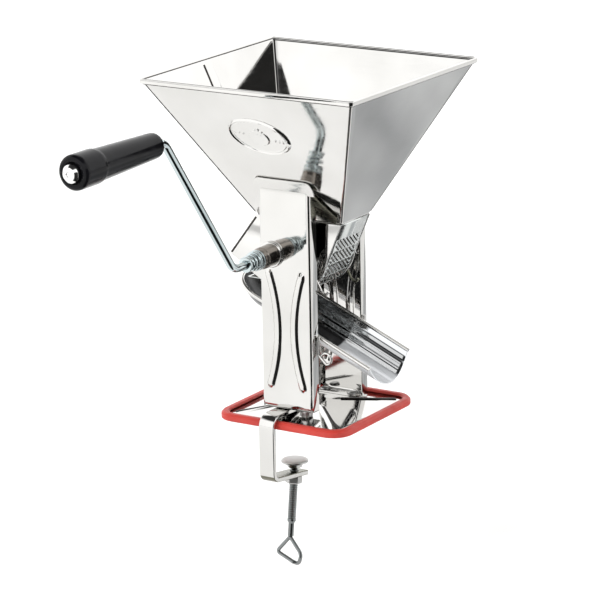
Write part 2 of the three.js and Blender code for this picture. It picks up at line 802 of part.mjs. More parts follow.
function add(name, geometry, material) {
  const mesh = new THREE.Mesh(geometry, material);
  mesh.name = name;
  press.add(mesh);
}

const frontDrills = [drill(STRAP_RIVET_X, -FOOT_Y, Z), drill(SPACER_X, -FOOT_Y, Z)];
const rearDrills = [drill(-REAR_RIVET_X, FOOT_Y, rearUp), drill(REAR_RIVET_X, FOOT_Y, rearUp)];
const rearFootZ = baseTop(POST.web) + GAP;
const rearToeZ = baseTop(POST.web - POST.toe) + GAP;

add("base_plate", basePlate([...frontDrills, ...rearDrills]), polishedSteel());
add("edge_seal", edgeSeal(), redRubber());
add("front_post", post(-1, FRONT_FOOT_Z, FRONT_FOOT_Z, [hubHole(-1), ...frontDrills]), polishedSteel());
add("rear_post", post(1, rearFootZ, rearToeZ, [hubHole(1), ...rearDrills]), polishedSteel());
add("strap_rivet", frontRivet(STRAP_RIVET_X), darkZinc());
add("spacer_rivet", frontRivet(SPACER_X), darkZinc());
add("foot_spacer", spacer(), darkZinc());
add("rear_rivet_left", rearRivet(-REAR_RIVET_X), darkZinc());
add("rear_rivet_right", rearRivet(REAR_RIVET_X), darkZinc());

add("hopper", hopper(), polishedSteel());
add("front_cheek", cheek(-1), polishedSteel());
add("rear_cheek", cheek(1), polishedSteel());
add("strainer_screen", strainerScreen(), screenSteel());
add("peel_apron", peelApron(), polishedSteel());
add("screen_clip_front", screenClip(-1), chromedRod());
add("screen_clip_rear", screenClip(1), chromedRod());
add("front_hub", frontHub(), hubSteel());
add("rear_bearing", rearBearing(), hubSteel());

add("juice_gutter", juiceGutter(), polishedSteel());
add("gutter_hook_front", gutterHook(-1), chromedRod());
add("gutter_hook_rear", gutterHook(1), chromedRod());

add("clamp_bracket", clampBracket(), polishedSteel());
add("clamp_nut", clampNut(), darkZinc());
add("pressure_pad", pressurePad(), darkZinc());
add("clamp_screw", clampScrew(), chromedRod());
add("wire_loop", wireLoop(), chromedRod());

add("crank_rod", crankRod(), chromedRod());
add("roller_core", rollerCore(), whitePlastic());
for (let number = 0; number < PADDLES; number += 1) {
  add(`paddle_${number + 1}`, paddle(number), whitePlastic());
}
add("roller_pin", pinBlock(0), chromedRod());
add("hub_washer", washer(HUB_NOSE_Y - 2.2, 8.2, 1.6), chromedRod());
add("crank_spring", crankSpring(), chromedRod());
add("spring_collar", washer(-81.4, 6.2, 2.6), chromedRod());
add("rear_clip", washer(POST.web + 3.2, 6, 1.2), chromedRod());

add("grip", grip(), blackPlastic());
add("grip_cap", gripCap(), darkZinc());

export default press;
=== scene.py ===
"""Hand-cranked tomato strainer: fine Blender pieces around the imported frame.

Lengths inside the modelling functions are millimetres; piece() turns them into metres.
The frame has +X towards the gutter's outlet, -Y towards the crank and +Z up.
"""
import json
from math import asin, atan, atan2, cos, exp, hypot, pi, radians, sin, sqrt, tan

import bpy
from mathutils import Matrix, Quaternion, Vector, noise
from mathutils.geometry import delaunay_2d_cdt


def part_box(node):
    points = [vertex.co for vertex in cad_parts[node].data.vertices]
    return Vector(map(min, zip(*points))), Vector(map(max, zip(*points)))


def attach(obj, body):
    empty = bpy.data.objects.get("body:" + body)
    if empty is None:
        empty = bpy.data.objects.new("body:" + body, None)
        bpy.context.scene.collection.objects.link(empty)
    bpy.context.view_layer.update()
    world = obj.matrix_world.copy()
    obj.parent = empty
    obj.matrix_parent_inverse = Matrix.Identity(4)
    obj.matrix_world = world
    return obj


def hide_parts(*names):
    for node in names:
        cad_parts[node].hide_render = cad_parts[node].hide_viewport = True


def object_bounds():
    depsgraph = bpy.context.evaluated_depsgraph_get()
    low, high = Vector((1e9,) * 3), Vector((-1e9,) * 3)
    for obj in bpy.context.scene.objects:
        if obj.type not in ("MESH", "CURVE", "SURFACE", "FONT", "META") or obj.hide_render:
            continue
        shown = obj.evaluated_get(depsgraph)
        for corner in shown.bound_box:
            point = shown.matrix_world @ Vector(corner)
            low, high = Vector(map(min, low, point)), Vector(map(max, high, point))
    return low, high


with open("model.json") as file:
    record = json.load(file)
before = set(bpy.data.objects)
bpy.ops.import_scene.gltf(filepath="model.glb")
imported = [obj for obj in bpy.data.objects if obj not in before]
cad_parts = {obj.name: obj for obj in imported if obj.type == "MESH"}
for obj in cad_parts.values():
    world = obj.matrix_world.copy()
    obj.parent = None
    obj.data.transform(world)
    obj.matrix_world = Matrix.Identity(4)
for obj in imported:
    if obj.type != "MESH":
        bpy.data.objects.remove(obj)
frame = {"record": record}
cad_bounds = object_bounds()
MM = 0.001
TINY = 1e-6


def span(node):
    """Lowest and highest corner of a CAD node, in millimetres."""
    low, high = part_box(node)
    return low / MM, high / MM


def joint(name):
    """A joint's row in the record."""
    return next(row for row in frame["record"]["behaviour"]["joints"] if row["name"] == name)


# ---- sizes taken from the frame ----
SHEET = 1.2
HOPPER_LOW, HOPPER_HIGH = span("hopper")
RIM = HOPPER_HIGH.x
RIM_Z = HOPPER_HIGH.z
THROAT_Z = HOPPER_LOW.z
CHEEK_LOW, CHEEK_HIGH = span("front_cheek")
THROAT_X = CHEEK_HIGH.x
THROAT_Y = -CHEEK_LOW.y
AXIS = Vector(joint("crank_spin")["pos_m"]) / MM
SPINDLE = Vector(joint("grip_spin")["pos_m"]) / MM
FEED = Vector(joint("clamp_feed")["axis"]).normalized()
SCREW_AT = Vector(joint("screw_turn")["pos_m"]) / MM
UNDER_HEM = RIM - 1
WALL_RUN = (UNDER_HEM - THROAT_Y) / (RIM_Z - THROAT_Z)
WALL_LEAN = atan(WALL_RUN)
SIDE_LEAN = atan((UNDER_HEM - THROAT_X) / (RIM_Z - THROAT_Z))

X = Vector((1, 0, 0))
Y = Vector((0, 1, 0))
Z = Vector((0, 0, 1))


# ---- small helpers ----
def mix(a, b, t):
    """The value a share t of the way from a to b."""
    return a + (b - a) * t


def smooth(t):
    """A step from 0 to 1 that starts and ends gently."""
    t = min(max(t, 0.0), 1.0)
    return t * t * (3 - 2 * t)


def bell(distance, width):
    """A bump of height 1 that fades with distance."""
    return exp(-((distance / width) ** 2))


def rounded(route, radius, steps=10):
    """The route with each inner corner replaced by an arc."""
    route = [Vector(point) for point in route]
    radii = radius if isinstance(radius, (list, tuple)) else [radius] * (len(route) - 2)
    result = [route[0]]
    for before, corner, after, size in zip(route, route[1:], route[2:], radii):
        back = (before - corner).normalized()
        ahead = (after - corner).normalized()
        turn = pi - back.angle(ahead)
        centre = corner + (back + ahead).normalized() * size / cos(turn / 2)
        start = corner + back * size * tan(turn / 2) - centre
        axis = start.cross(corner - centre).normalized()
        for step in range(steps + 1):
            result.append(centre + Quaternion(axis, turn * step / steps) @ start)
    result.append(route[-1])
    return result


def rounded_loop(corners, radius, steps=6):
    """A closed outline of 2D corners with arcs of the given radius."""
    count = len(corners)
    result = []
    for i in range(count):
        trio = [Vector((*corners[(i + k) % count], 0)) for k in (-1, 0, 1)]
        result += rounded(trio, radius, steps)[1:-1]
    return [(point.x, point.y) for point in result]


def square_loop(half, corner, z, steps=8):
    """A level square with rounded corners."""
    corners = [(-half, -half), (half, -half), (half, half), (-half, half)]
    return [Vector((x, y, z)) for x, y in rounded_loop(corners, corner, steps)]


def polar(radius, angle):
    """The (x, y) of a place on a circle."""
    return radius * cos(angle), radius * sin(angle)


def circle(radius, sides):
    """An outline of (x, y) pairs."""
    return [polar(radius, 2 * pi * i / sides) for i in range(sides)]


def tube(bore, radius, low, high):
    """The closed profile of a plain ring."""
    return [(bore, low), (radius, low), (radius, high), (bore, high), (bore, low)]


def oblong(width, height, radius, steps=5):
    """A rectangle with rounded corners."""
    w, h = width / 2, height / 2
    return rounded_loop([(-w, -h), (w, -h), (w, h), (-w, h)], radius, steps)


def piece(name, verts, faces, material, node, body="stand", sharp=35):
    """A mesh of millimetre points as an object that rides a body in place of a CAD node."""
    mesh = bpy.data.meshes.new(name)
    mesh.from_pydata([Vector(point) * MM for point in verts], [], faces)
    mesh.validate()
    thing = bpy.data.objects.new(name, mesh)
    bpy.context.collection.objects.link(thing)
    mesh.polygons.foreach_set("use_smooth", [True] * len(mesh.polygons))
    mesh.set_sharp_from_angle(angle=radians(sharp))
    mesh.materials.append(material)
    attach(thing, body)
    if node:
        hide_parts(node)
    return thing


def grid_faces(rows, columns, close_rows=False, close_columns=False):
    """Quads between rows of points, with the last row or column joined to the first if closed."""
    faces = []
    for r in range(rows if close_rows else rows - 1):
        for c in range(columns if close_columns else columns - 1):
            r2, c2 = (r + 1) % rows, (c + 1) % columns
            faces.append((r * columns + c, r * columns + c2, r2 * columns + c2, r2 * columns + c))
    return faces


def thicken(thing, thickness, offset=-1.0, bevel=0.25):
    """Gives a surface its sheet thickness, with slightly rounded cut edges."""
    solid = thing.modifiers.new("sheet", "SOLIDIFY")
    solid.thickness = thickness * MM
    solid.offset = offset
    solid.use_even_offset = True
    if bevel:
        edge = thing.modifiers.new("edges", "BEVEL")
        edge.width = bevel * MM
        edge.segments = 2
        edge.limit_method = "ANGLE"
        edge.angle_limit = radians(60)
    return thing


def lathe_mesh(profile, axis, at, sides=64):
    """Points and faces of a turned piece: (radius, distance along the axis) pairs."""
    turn = Z.rotation_difference(Vector(axis))
    verts = []
    for radius, along in profile:
        verts += [Vector(at) + turn @ Vector((x, y, along)) for x, y in circle(radius, sides)]
    return verts, grid_faces(len(profile), sides, close_columns=True)


def turned(name, corners, material, node, body="stand", axis=Y, at=None, ease=0.3, sides=64):
    """A turned piece, on the crank's axle unless placed elsewhere, with its corners eased."""
    points = [Vector((radius, along, 0)) for radius, along in corners]
    profile = rounded(points, eased(points, ease), 3)
    pairs = [(max(point.x, 0.001), point.y) for point in profile]
    verts, faces = lathe_mesh(pairs, axis, axle_point() if at is None else at, sides)
    return piece(name, verts, faces, material, node, body)


def eased(points, ease):
    """A corner radius for each inner point that fits its neighbours."""
    radii = []
    for before, corner, after in zip(points, points[1:], points[2:]):
        turn = pi - (before - corner).angle(after - corner)
        room = 0.45 * min((before - corner).length, (after - corner).length)
        radii.append(min(ease, room / max(tan(turn / 2), 0.01)))
    return radii


def swept(name, path, section, material, node, body="stand", up=Z, closed=False,
          sharp=35):
    """A section of (across, up) pairs carried along a path."""
    verts, faces = sweep_mesh(path, section, closed, up)
    return piece(name, verts, faces, material, node, body, sharp)


def sweep_mesh(path, section, closed=False, up=Z):
    """Points and faces of a sweep; the section is stretched at each bend to keep its width."""
    path = [Vector(point) for point in path]
    count = len(path)
    normal = Vector(up)
    verts = []
    last = None
    for i, point in enumerate(path):
        before = path[i - 1] if closed or i > 0 else point
        after = path[(i + 1) % count] if closed or i < count - 1 else point
        along = (after - before).normalized()
        if last is not None:
            normal = last.rotation_difference(along) @ normal
        normal = (normal - along * normal.dot(along)).normalized()
        side = along.cross(normal)
        into = (point - before).normalized() if (point - before).length > TINY else along
        stretch = 1 / max(along.dot(into), 0.5)
        bend = (after - point).normalized() - into if (after - point).length > TINY else Vector()
        for a, b in section:
            offset = side * a + normal * b
            if bend.length > TINY:
                out = bend.normalized()
                offset += out * offset.dot(out) * (stretch - 1)
            verts.append(point + offset)
        last = along
    faces = grid_faces(count, len(section), closed, True)
    if not closed:
        size = len(section)
        faces.append(tuple(reversed(range(size))))
        faces.append(tuple(range((count - 1) * size, count * size)))
    return verts, [tuple(reversed(face)) for face in faces]


def surface(name, rows, material, node, closed=False, flip=False, sharp=40):
    """A surface from rows of points."""
    faces = grid_faces(len(rows), len(rows[0]), close_columns=closed)
    if flip:
        faces = [tuple(reversed(face)) for face in faces]
    return piece(name, [p for row in rows for p in row], faces, material, node, sharp=sharp)


# ---- materials ----
def nodes_of(name):
    """A new material with its node tree and its shader."""
    material = bpy.data.materials.new(name)
    material.use_nodes = True
    tree = material.node_tree
    return material, tree, tree.nodes["Principled BSDF"]


def feed(tree, node, sources):
    """Gives a node's inputs their values, or links them to the outputs of other nodes."""
    for name, source in sources.items():
        if isinstance(source, bpy.types.NodeSocket):
            tree.links.new(source, node.inputs[name])
        else:
            node.inputs[name].default_value = source
    return node


def noise_node(tree, scale, detail, stretch=(1, 1, 1)):
    """A noise over object coordinates."""
    place = tree.nodes.new("ShaderNodeTexCoord").outputs["Object"]
    mapping = feed(tree, tree.nodes.new("ShaderNodeMapping"), {"Vector": place, "Scale": stretch})
    texture = tree.nodes.new("ShaderNodeTexNoise")
    feed(tree, texture, {"Vector": mapping.outputs["Vector"], "Scale": scale, "Detail": detail})
    return texture.outputs["Fac"]


def ramp(tree, source, stops):
    """A colour ramp over a noise: (place, grey value or colour) pairs."""
    node = tree.nodes.new("ShaderNodeValToRGB")
    elements = node.color_ramp.elements
    while len(elements) < len(stops):
        elements.new(0.5)
    for element, (place, value) in zip(elements, stops):
        element.position = place
        element.color = (*value, 1) if isinstance(value, tuple) else (value, value, value, 1)
    tree.links.new(source, node.inputs["Fac"])
    return node.outputs["Color"]


def bump(tree, layers):
    """Chained bump nodes: (texture, strength, distance in millimetres)."""
    normal = None
    for texture, strength, distance in layers:
        node = tree.nodes.new("ShaderNodeBump")
        feed(tree, node, {"Strength": strength, "Distance": distance * MM, "Height": texture})
        if normal:
            feed(tree, node, {"Normal": normal})
        normal = node.outputs["Normal"]
    return normal


def metal(name, tints, rough, scratch, wave, grain):
    """Metal with cloudy colour, uneven polish, fine scratches and a slight waviness."""
    material, tree, shader = nodes_of(name)
    tint = ramp(tree, noise_node(tree, 14, 3), [(0.3, tints[0]), (0.7, tints[1])])
    polish = ramp(tree, noise_node(tree, 55, 6, scratch), [(0.3, rough[0]), (0.75, rough[1])])
    waves = noise_node(tree, 9, 2)
    relief = bump(tree, [(waves, wave, 1.0), (noise_node(tree, 900, 3, scratch), grain, 0.05)])
    feed(tree, shader, {"Metallic": 1.0, "Base Color": tint, "Roughness": polish, "Normal": relief})
    return material


def across(tree, direction, places, values):
    """A value that runs smoothly between two places (mm) along a direction."""
    place = tree.nodes.new("ShaderNodeTexCoord").outputs["Object"]
    dot = tree.nodes.new("ShaderNodeVectorMath")
    dot.operation = "DOT_PRODUCT"
    dot.inputs[1].default_value = direction
    tree.links.new(place, dot.inputs[0])
    run = tree.nodes.new("ShaderNodeMapRange")
    run.interpolation_type = "SMOOTHSTEP"
    low, high = (place * MM for place in places)
    feed(tree, run, {"From Min": low, "From Max": high, "To Min": values[0], "To Max": values[1]})
    feed(tree, run, {"Value": dot.outputs["Value"]})
    return run.outputs["Result"]


def larger_of(tree, one, other):
    """The larger of two values, point by point."""
    larger = tree.nodes.new("ShaderNodeMath")
    larger.operation = "MAXIMUM"
    tree.links.new(one, larger.inputs[0])
    tree.links.new(other, larger.inputs[1])
    return larger.outputs["Value"]


def scaled(tree, shader, name, amount):
    """Multiply what already feeds a shader input by an amount."""
    scale = tree.nodes.new("ShaderNodeVectorMath")
    scale.operation = "SCALE"
    tree.links.new(shader.inputs[name].links[0].from_socket, scale.inputs[0])
    tree.links.new(amount, scale.inputs["Scale"])
    tree.links.new(scale.outputs["Vector"], shader.inputs[name])


ALONG_X = (9, 1, 1)
ALONG_Y = (1, 9, 1)
ALONG_Z = (1, 1, 9)
EVEN = (1, 1, 1)
TROUGH_TINTS = ((0.60, 0.615, 0.635), (0.70, 0.715, 0.735))
# Painted shade in the trough: the first two values are the shares of its colour left over the inner end and
# on the rear flank.
TROUGH = {"painted_dark": 0.05, "painted_half_dark": 0.5, "polish": (9, 14)}


def trough_metal():
    """Satin steel with painted shade: its colour is darkened almost to black over the inner end and to half
    on the rear flank, a painted reflection of the dark housing; polished on the rear flank.
    """
    material = metal("satin_trough_painted_shade", TROUGH_TINTS, (0.16, 0.26), ALONG_X, 0.3, 0.05)
    tree = material.node_tree
    shader = tree.nodes["Principled BSDF"]
    # Painted shade: the colour fades to near black away from the outlet and only to half on the rear flank.
    painted_end_shade = across(tree, X, (19, 21), (TROUGH["painted_dark"], 1.0))
    painted_flank_shade = across(tree, Y, (11, 17), (TROUGH["painted_dark"], TROUGH["painted_half_dark"]))
    scaled(tree, shader, "Base Color", larger_of(tree, painted_end_shade, painted_flank_shade))
    scaled(tree, shader, "Roughness", across(tree, Y, TROUGH["polish"], (1.0, 0.3)))
    tree.links.new(across(tree, Y, TROUGH["polish"], (0.3, 1.0)), shader.inputs["Metallic"])
    return material


def moulded(name, tints, clouds, shine, smears, grain, specular=0.5):
    """Rubber or plastic: each noise is (scale, detail), and the grain adds (strength, depth)."""
    material, tree, shader = nodes_of(name)
    tint = ramp(tree, noise_node(tree, *clouds), [(0.3, tints[0]), (0.7, tints[1])])
    polish = ramp(tree, noise_node(tree, *smears), shine)
    relief = bump(tree, [(noise_node(tree, *grain[:2]), *grain[2:])])
    feed(tree, shader, {"Base Color": tint, "Roughness": polish, "Normal": relief})
    feed(tree, shader, {"Specular IOR Level": specular})
    return material


STEEL_TINTS = ((0.58, 0.573, 0.555), (0.66, 0.653, 0.637))
SCREEN_TINTS = ((0.52, 0.54, 0.53), (0.62, 0.64, 0.63))
# Painted shade: dark olive tints for a shaded copy of the polished steel.
SHADE_TINTS = ((0.12, 0.12, 0.09), (0.19, 0.185, 0.15))
CHROME_TINTS = ((0.43, 0.49, 0.50), (0.53, 0.59, 0.60))
# Painted shade: darkened chrome tints for the clamp screw and its loop.
SHADED_CHROME_TINTS = ((0.15, 0.16, 0.16), (0.26, 0.275, 0.275))
HUB_TINTS = ((0.21, 0.19, 0.17), (0.32, 0.29, 0.26))
ZINC_TINTS = ((0.40, 0.40, 0.39), (0.52, 0.52, 0.51))
CAP_TINTS = ((0.72, 0.72, 0.71), (0.82, 0.82, 0.81))
# Painted shade: near-black tints for the thin strips that stand in for shade in folds, creases, corners and
# hems.
SHADE_LINE_TINTS = ((0.035, 0.033, 0.03), (0.09, 0.085, 0.08))
RUBBER_TINTS = ((0.36, 0.022, 0.014), (0.47, 0.034, 0.022))
BLACK_TINTS = ((0.0025, 0.0025, 0.003), (0.006, 0.006, 0.0075))
WHITE_TINTS = ((0.70, 0.68, 0.63), (0.82, 0.81, 0.78))

STEEL = metal("polished_steel", STEEL_TINTS, (0.03, 0.1), ALONG_Z, 0.3, 0.03)
SCREEN = metal("screen_steel", SCREEN_TINTS, (0.16, 0.28), ALONG_X, 0.2, 0.10)
SHADED_TROUGH = trough_metal()
# Painted shade: a dark copy of the steel for surfaces that should show dark reflections of surroundings that
# aren't here.
SHADE = metal("shaded_steel", SHADE_TINTS, (0.22, 0.34), ALONG_Y, 0.2, 0.08)
BAND = metal("brushed_band", STEEL_TINTS, (0.16, 0.24), ALONG_X, 0.3, 0.04)
CHROME = metal("chromed_rod", CHROME_TINTS, (0.04, 0.12), ALONG_Y, 0.15, 0.03)
# Painted shade: chrome made dark to stand in for dark surroundings it would reflect.
SHADED_CHROME = metal("chrome_with_painted_shade", SHADED_CHROME_TINTS, (0.06, 0.16), ALONG_Z, 0.15, 0.08)
HUB = metal("hub_steel", HUB_TINTS, (0.14, 0.26), ALONG_Y, 0.1, 0.15)
ZINC = metal("dull_zinc", ZINC_TINTS, (0.25, 0.42), EVEN, 0.2, 0.2)
BRIGHT = metal("bright_cap", CAP_TINTS, (0.08, 0.2), EVEN, 0.1, 0.08)
# Painted shade: near-black steel for thin strips laid where folds, creases and corners would be in shade.
SHADE_LINE = metal("painted_shade_line", SHADE_LINE_TINTS, (0.35, 0.6), EVEN, 0.1, 0.2)
RUBBER_SHINE = [(0.3, 0.42), (0.7, 0.62)]
BLACK_SHINE = [(0.35, 0.13), (0.75, 0.26)]
WHITE_SHINE = [(0.3, 0.35), (0.7, 0.5)]
RUBBER = moulded("red_rubber", RUBBER_TINTS, (40, 5), RUBBER_SHINE, (120, 4), (700, 4, 0.35, 0.15))
BLACK = moulded("black_plastic", BLACK_TINTS, (60, 3), BLACK_SHINE, (90, 6), (220, 3, 0.12, 0.12), 0.13)
WHITE = moulded("white_plastic", WHITE_TINTS, (30, 4), WHITE_SHINE, (150, 4), (500, 4, 0.25, 0.1))


# ---- hopper ----
def wall_half(z, throat):
    """Half the hopper's width at a height."""
    return mix(throat, UNDER_HEM, (z - THROAT_Z) / (RIM_Z - THROAT_Z))


BADGE = {"x": -3.5, "z": 241, "long": 27, "tall": 17.5, "tilt": radians(-9.5), "proud": 0.25}


def badge_height(a, b):
    """Height of the embossed oval above the front wall: two ridges and a plain round fruit with leaves."""
    away = hypot(a / BADGE["long"], b / BADGE["tall"])
    raised = -0.5 + 0.85 * smooth((1.03 - away) / 0.035)
    ridges = 1.05 * bell(away - 0.955, 0.022) + 0.55 * bell(away - 0.865, 0.017)
    fruit = hypot(a / 9.4, (b + 1.0) / 8.0)
    emblem = 0.95 * smooth((1 - fruit) / 0.13) - 0.3 * smooth((0.78 - fruit) / 0.3)
    star = hypot(a, b - 5.6) / (3.2 + 1.5 * cos(5 * atan2(a, b - 5.6)))
    leaves = 0.8 * smooth((1.0 - star) / 0.25)
    beads = 0.0
    for side in (-1, 1):
        for bead in (14.0, 17.6, 20.6):
            beads += 0.8 * bell(hypot(a - side * bead, b * 0.9), 1.1)
    return raised + ridges + max(emblem, leaves + 0.2 * smooth((1 - fruit) / 0.14)) + beads


def badge():
    """The oval on the front wall, on rings that narrow towards its middle."""
    rings, sides = 60, 144
    out = Vector((0, -cos(WALL_LEAN), -sin(WALL_LEAN)))
    up = Vector((0, -sin(WALL_LEAN), cos(WALL_LEAN)))
    y = -wall_half(BADGE["z"], THROAT_Y)
    rows = []
    for ring in range(rings + 1):
        share = 1.04 * (1 - ring / rings) + 0.004
        row = []
        for i in range(sides):
            angle = 2 * pi * i / sides
            a, b = BADGE["long"] * share * cos(angle), BADGE["tall"] * share * sin(angle)
            aside = a * cos(BADGE["tilt"]) - b * sin(BADGE["tilt"])
            rise = a * sin(BADGE["tilt"]) + b * cos(BADGE["tilt"])
            place = Vector((BADGE["x"] + aside, y, BADGE["z"])) + up * rise
            row.append(place + out * (BADGE["proud"] + badge_height(a, b)))
        rows.append(row)
    surface("hopper_badge", rows, STEEL, "hopper", closed=True, sharp=70)


CORNER = 2.4
CORNER_STEPS = 5
SEAM_TOP = RIM_Z - 5
LAP = {"y": -6.0, "width": 10.0, "thick": 1.0, "inset": 1.35}


def lap_seam():
    """The lapped edge of the hopper's sheet, down the inside of its left wall."""
    inward = Vector((cos(SIDE_LEAN), 0, sin(SIDE_LEAN)))
    route = []
    for z in (THROAT_Z + 1, SEAM_TOP):
        route.append(Vector((-wall_half(z, THROAT_X), LAP["y"], z)) + inward * LAP["inset"])
    section = oblong(LAP["width"], LAP["thick"], 0.35, 3)
    swept("hopper_lap", route, section, STEEL, "hopper", up=inward)
    # Painted shade: a dark wire along the lap's edge stands in for the shadow of its step.
    edge = [point - Y * LAP["width"] / 2 for point in route]
    swept("hopper_lap_edge", edge, circle(0.55, 12), SHADE_LINE, "hopper", up=inward)


def sheet_wave(x, y, z, size=0.22):
    """The slight unevenness of pressed sheet, in millimetres."""
    return size * noise.noise(Vector((x, y, z)) / 46)


def hopper_loop(z, columns):
    """One level of the hopper's outside: four wavy walls joined by round corners."""
    half_x, half_y = wall_half(z, THROAT_X), wall_half(z, THROAT_Y)
    points = []
    for quarter, count in enumerate(columns):
        front = quarter % 2 == 0
        half, away = (half_x, half_y) if front else (half_y, half_x)
        facing = Matrix.Rotation(quarter * pi / 2, 3, "Z")
        lean = WALL_LEAN if front else SIDE_LEAN
        outward = facing @ Vector((0, -cos(lean), -sin(lean)))
        flat = half - CORNER
        for i in range(count + 1):
            aside = mix(-flat, flat, i / count)
            point = facing @ Vector((aside, -away, z))
            points.append(point + outward * sheet_wave(*point) * (1 - abs(aside / flat) ** 6))
        for i in range(1, CORNER_STEPS):
            angle = pi / 2 * i / CORNER_STEPS
            turn = Vector((flat + CORNER * sin(angle), -(away - CORNER + CORNER * cos(angle)), z))
            points.append(facing @ turn)
    return points


def hopper():
    """Four leaning walls, the rolled hem and dark strips of painted shade where the sheet is folded."""
    columns = (132, 30, 40, 72)
    levels = 92
    rows = [hopper_loop(mix(THROAT_Z, RIM_Z - 2, i / levels), columns) for i in range(levels + 1)]
    walls = surface("hopper_walls", rows, STEEL, "hopper", closed=True, sharp=50)
    thicken(walls, 1.0, bevel=0)
    # Painted shade: the fold and lip strips are dark lines beside the hem, standing in for the shade under
    # and inside it.
    loops = {
        "hopper_hem": (RIM - 1.05, 3.2, 2.1, oblong(2.05, 4.1, 0.95), STEEL),
        "hopper_fold": (UNDER_HEM - 2.4 * WALL_RUN, 3.0, 4.5, oblong(1.2, 0.9, 0.3, 3), SHADE_LINE),
        "hopper_lip": (RIM - 2.25, 2.2, 1.3, oblong(0.5, 0.7, 0.2, 3), SHADE_LINE),
    }
    for name, (half, corner, down, section, material) in loops.items():
        swept(name, square_loop(half, corner, RIM_Z - down), section, material, "hopper", closed=True)
    for number, (sx, sy) in enumerate(((-1, -1), (1, -1), (1, 1), (-1, 1))):
        corner_shade_line(f"hopper_corner_shade_{number + 1}", sx, sy)


def corner_shade_line(name, sx, sy):
    """A dark strip of painted shade down one corner of the hopper."""
    reach = CORNER * (1 - sqrt(0.5)) - 0.12
    seam = []
    for z in (THROAT_Z + 2, SEAM_TOP):
        x, y = wall_half(z, THROAT_X) - reach, wall_half(z, THROAT_Y) - reach
        seam.append(Vector((sx * x, sy * y, z)))
    swept(name, seam, circle(0.5, 10), SHADE_LINE, "hopper")


# ---- posts ----
POST = {"half": 23.5, "flange": 10, "corner": 2.6}
WEB = 43.0
ON_WEB = 0.01
FOLD_Z = 191.5
POST_LEVELS = 110
BAND_RISE = Vector((0, 3.6, 10.1)).normalized()
RIB = {"end": 15, "middle": 7.6, "top": 124, "bottom": 34, "width": 4.1, "rise": 1.9}


def rib_height(x, z):
    """Height of the two bowed ribs above the web."""
    middle = (RIB["top"] + RIB["bottom"]) / 2
    level = min(max(z, RIB["bottom"]), RIB["top"])
    centre = mix(RIB["middle"], RIB["end"], ((level - middle) / (RIB["top"] - middle)) ** 2)
    away = hypot(abs(x) - centre, z - level)
    return RIB["rise"] * smooth((RIB["width"] - away) / 2.7)


def post_section():
    """Cross-section of a post from flange tip to flange tip: (x, depth behind the web) pairs."""
    half, flange, corner = POST["half"], POST["flange"], POST["corner"]
    folds = rounded([(-half, flange, 0), (-half, 0, 0), (half, 0, 0), (half, flange, 0)], corner, 6)
    flat = [Vector((mix(-half + corner, half - corner, i / 96), 0, 0)) for i in range(1, 96)]
    return folds[:8] + flat + folds[8:]


def saddle_plane(side, x, up, away):
    """A point on the hopper's front or rear wall, up the slope from the throat."""
    y = -THROAT_Y - up * sin(WALL_LEAN) - away * cos(WALL_LEAN)
    z = THROAT_Z + up * cos(WALL_LEAN) - away * sin(WALL_LEAN)
    return Vector((-side * x, -side * y, z))


def post(name, side):
    """A channel post with bowed ribs; its web bends at the top behind the saddle's band."""
    foot = span(name)[0].z
    section = post_section()
    line = rounded([(0, WEB, FOLD_Z - 12), (0, WEB, FOLD_Z), band_point(1, 0, 1.35)], 4, 10)
    fold = [Vector((0, abs(point.y), point.z)) for point in line[1:]]
    shoulder = fold[0].z
    rows = []
    for i in range(POST_LEVELS + 1):
        rows.append([channel_point(point, side, i / POST_LEVELS, foot, shoulder) for point in section])
    last = rows[-1]
    for i, bent in enumerate(fold[1:]):
        part = (i + 1) / (len(fold) - 1)
        rows.append([folded_point(point, flat, side, bent, part) for point, flat in zip(section, last)])
    thicken(surface(f"{name}_channel", rows, STEEL, name, sharp=50), SHEET)
    post_foot(name, side, foot)
    saddle(name, side)


def folded_point(point, flat, side, bent, part):
    """A point above the shoulder, where the web bends and the flanges run out under the hopper."""
    if point.y < ON_WEB:
        return Vector((flat.x, side * bent.y, bent.z))
    top = min(channel_top(point), FOLD_Z)
    return Vector((flat.x, flat.y, mix(flat.z, max(top, flat.z), part)))


def channel_top(point):
    """Height where the hopper's wall ends a line of the channel."""
    return THROAT_Z + (WEB - point.y - THROAT_Y - 1.6) / WALL_RUN


def channel_point(point, side, part, foot, shoulder):
    """A point of the channel, part of the way from its foot to the hopper or its shoulder."""
    depth = WEB - point.y
    bottom = foot + (3.0 if point.y < 1 else 0.8)
    z = mix(bottom, min(channel_top(point), shoulder), part)
    lift = 0.0
    if point.y < ON_WEB:
        lift = rib_height(point.x, z) + sheet_wave(point.x, side * 300, z, 0.16) * smooth((shoulder - z) / 12)
    return Vector((-side * point.x, side * (depth + lift), z))


def band_point(side, x, up, away=0.0):
    """A point on the saddle's band, up from its fold with the web."""
    out = Vector((0, BAND_RISE.z, -BAND_RISE.y))
    place = Vector((0, WEB, FOLD_Z)) + BAND_RISE * up + out * away
    return Vector((-side * x, side * place.y, place.z))


def post_foot(name, side, foot):
    """The turned-in foot of a post, with its bend."""
    mid = SHEET / 2
    toe = foot + (2.1 if side > 0 else 0)
    route = [(WEB - mid, foot + 8), (WEB - mid, foot + mid), (WEB - 16, toe + mid)]
    path = rounded([(0, side * y, z) for y, z in route], 2.4, 8)
    swept(f"{name}_foot", path, oblong(39, SHEET, 0.4, 3), STEEL, name, up=X.cross(Z * side))


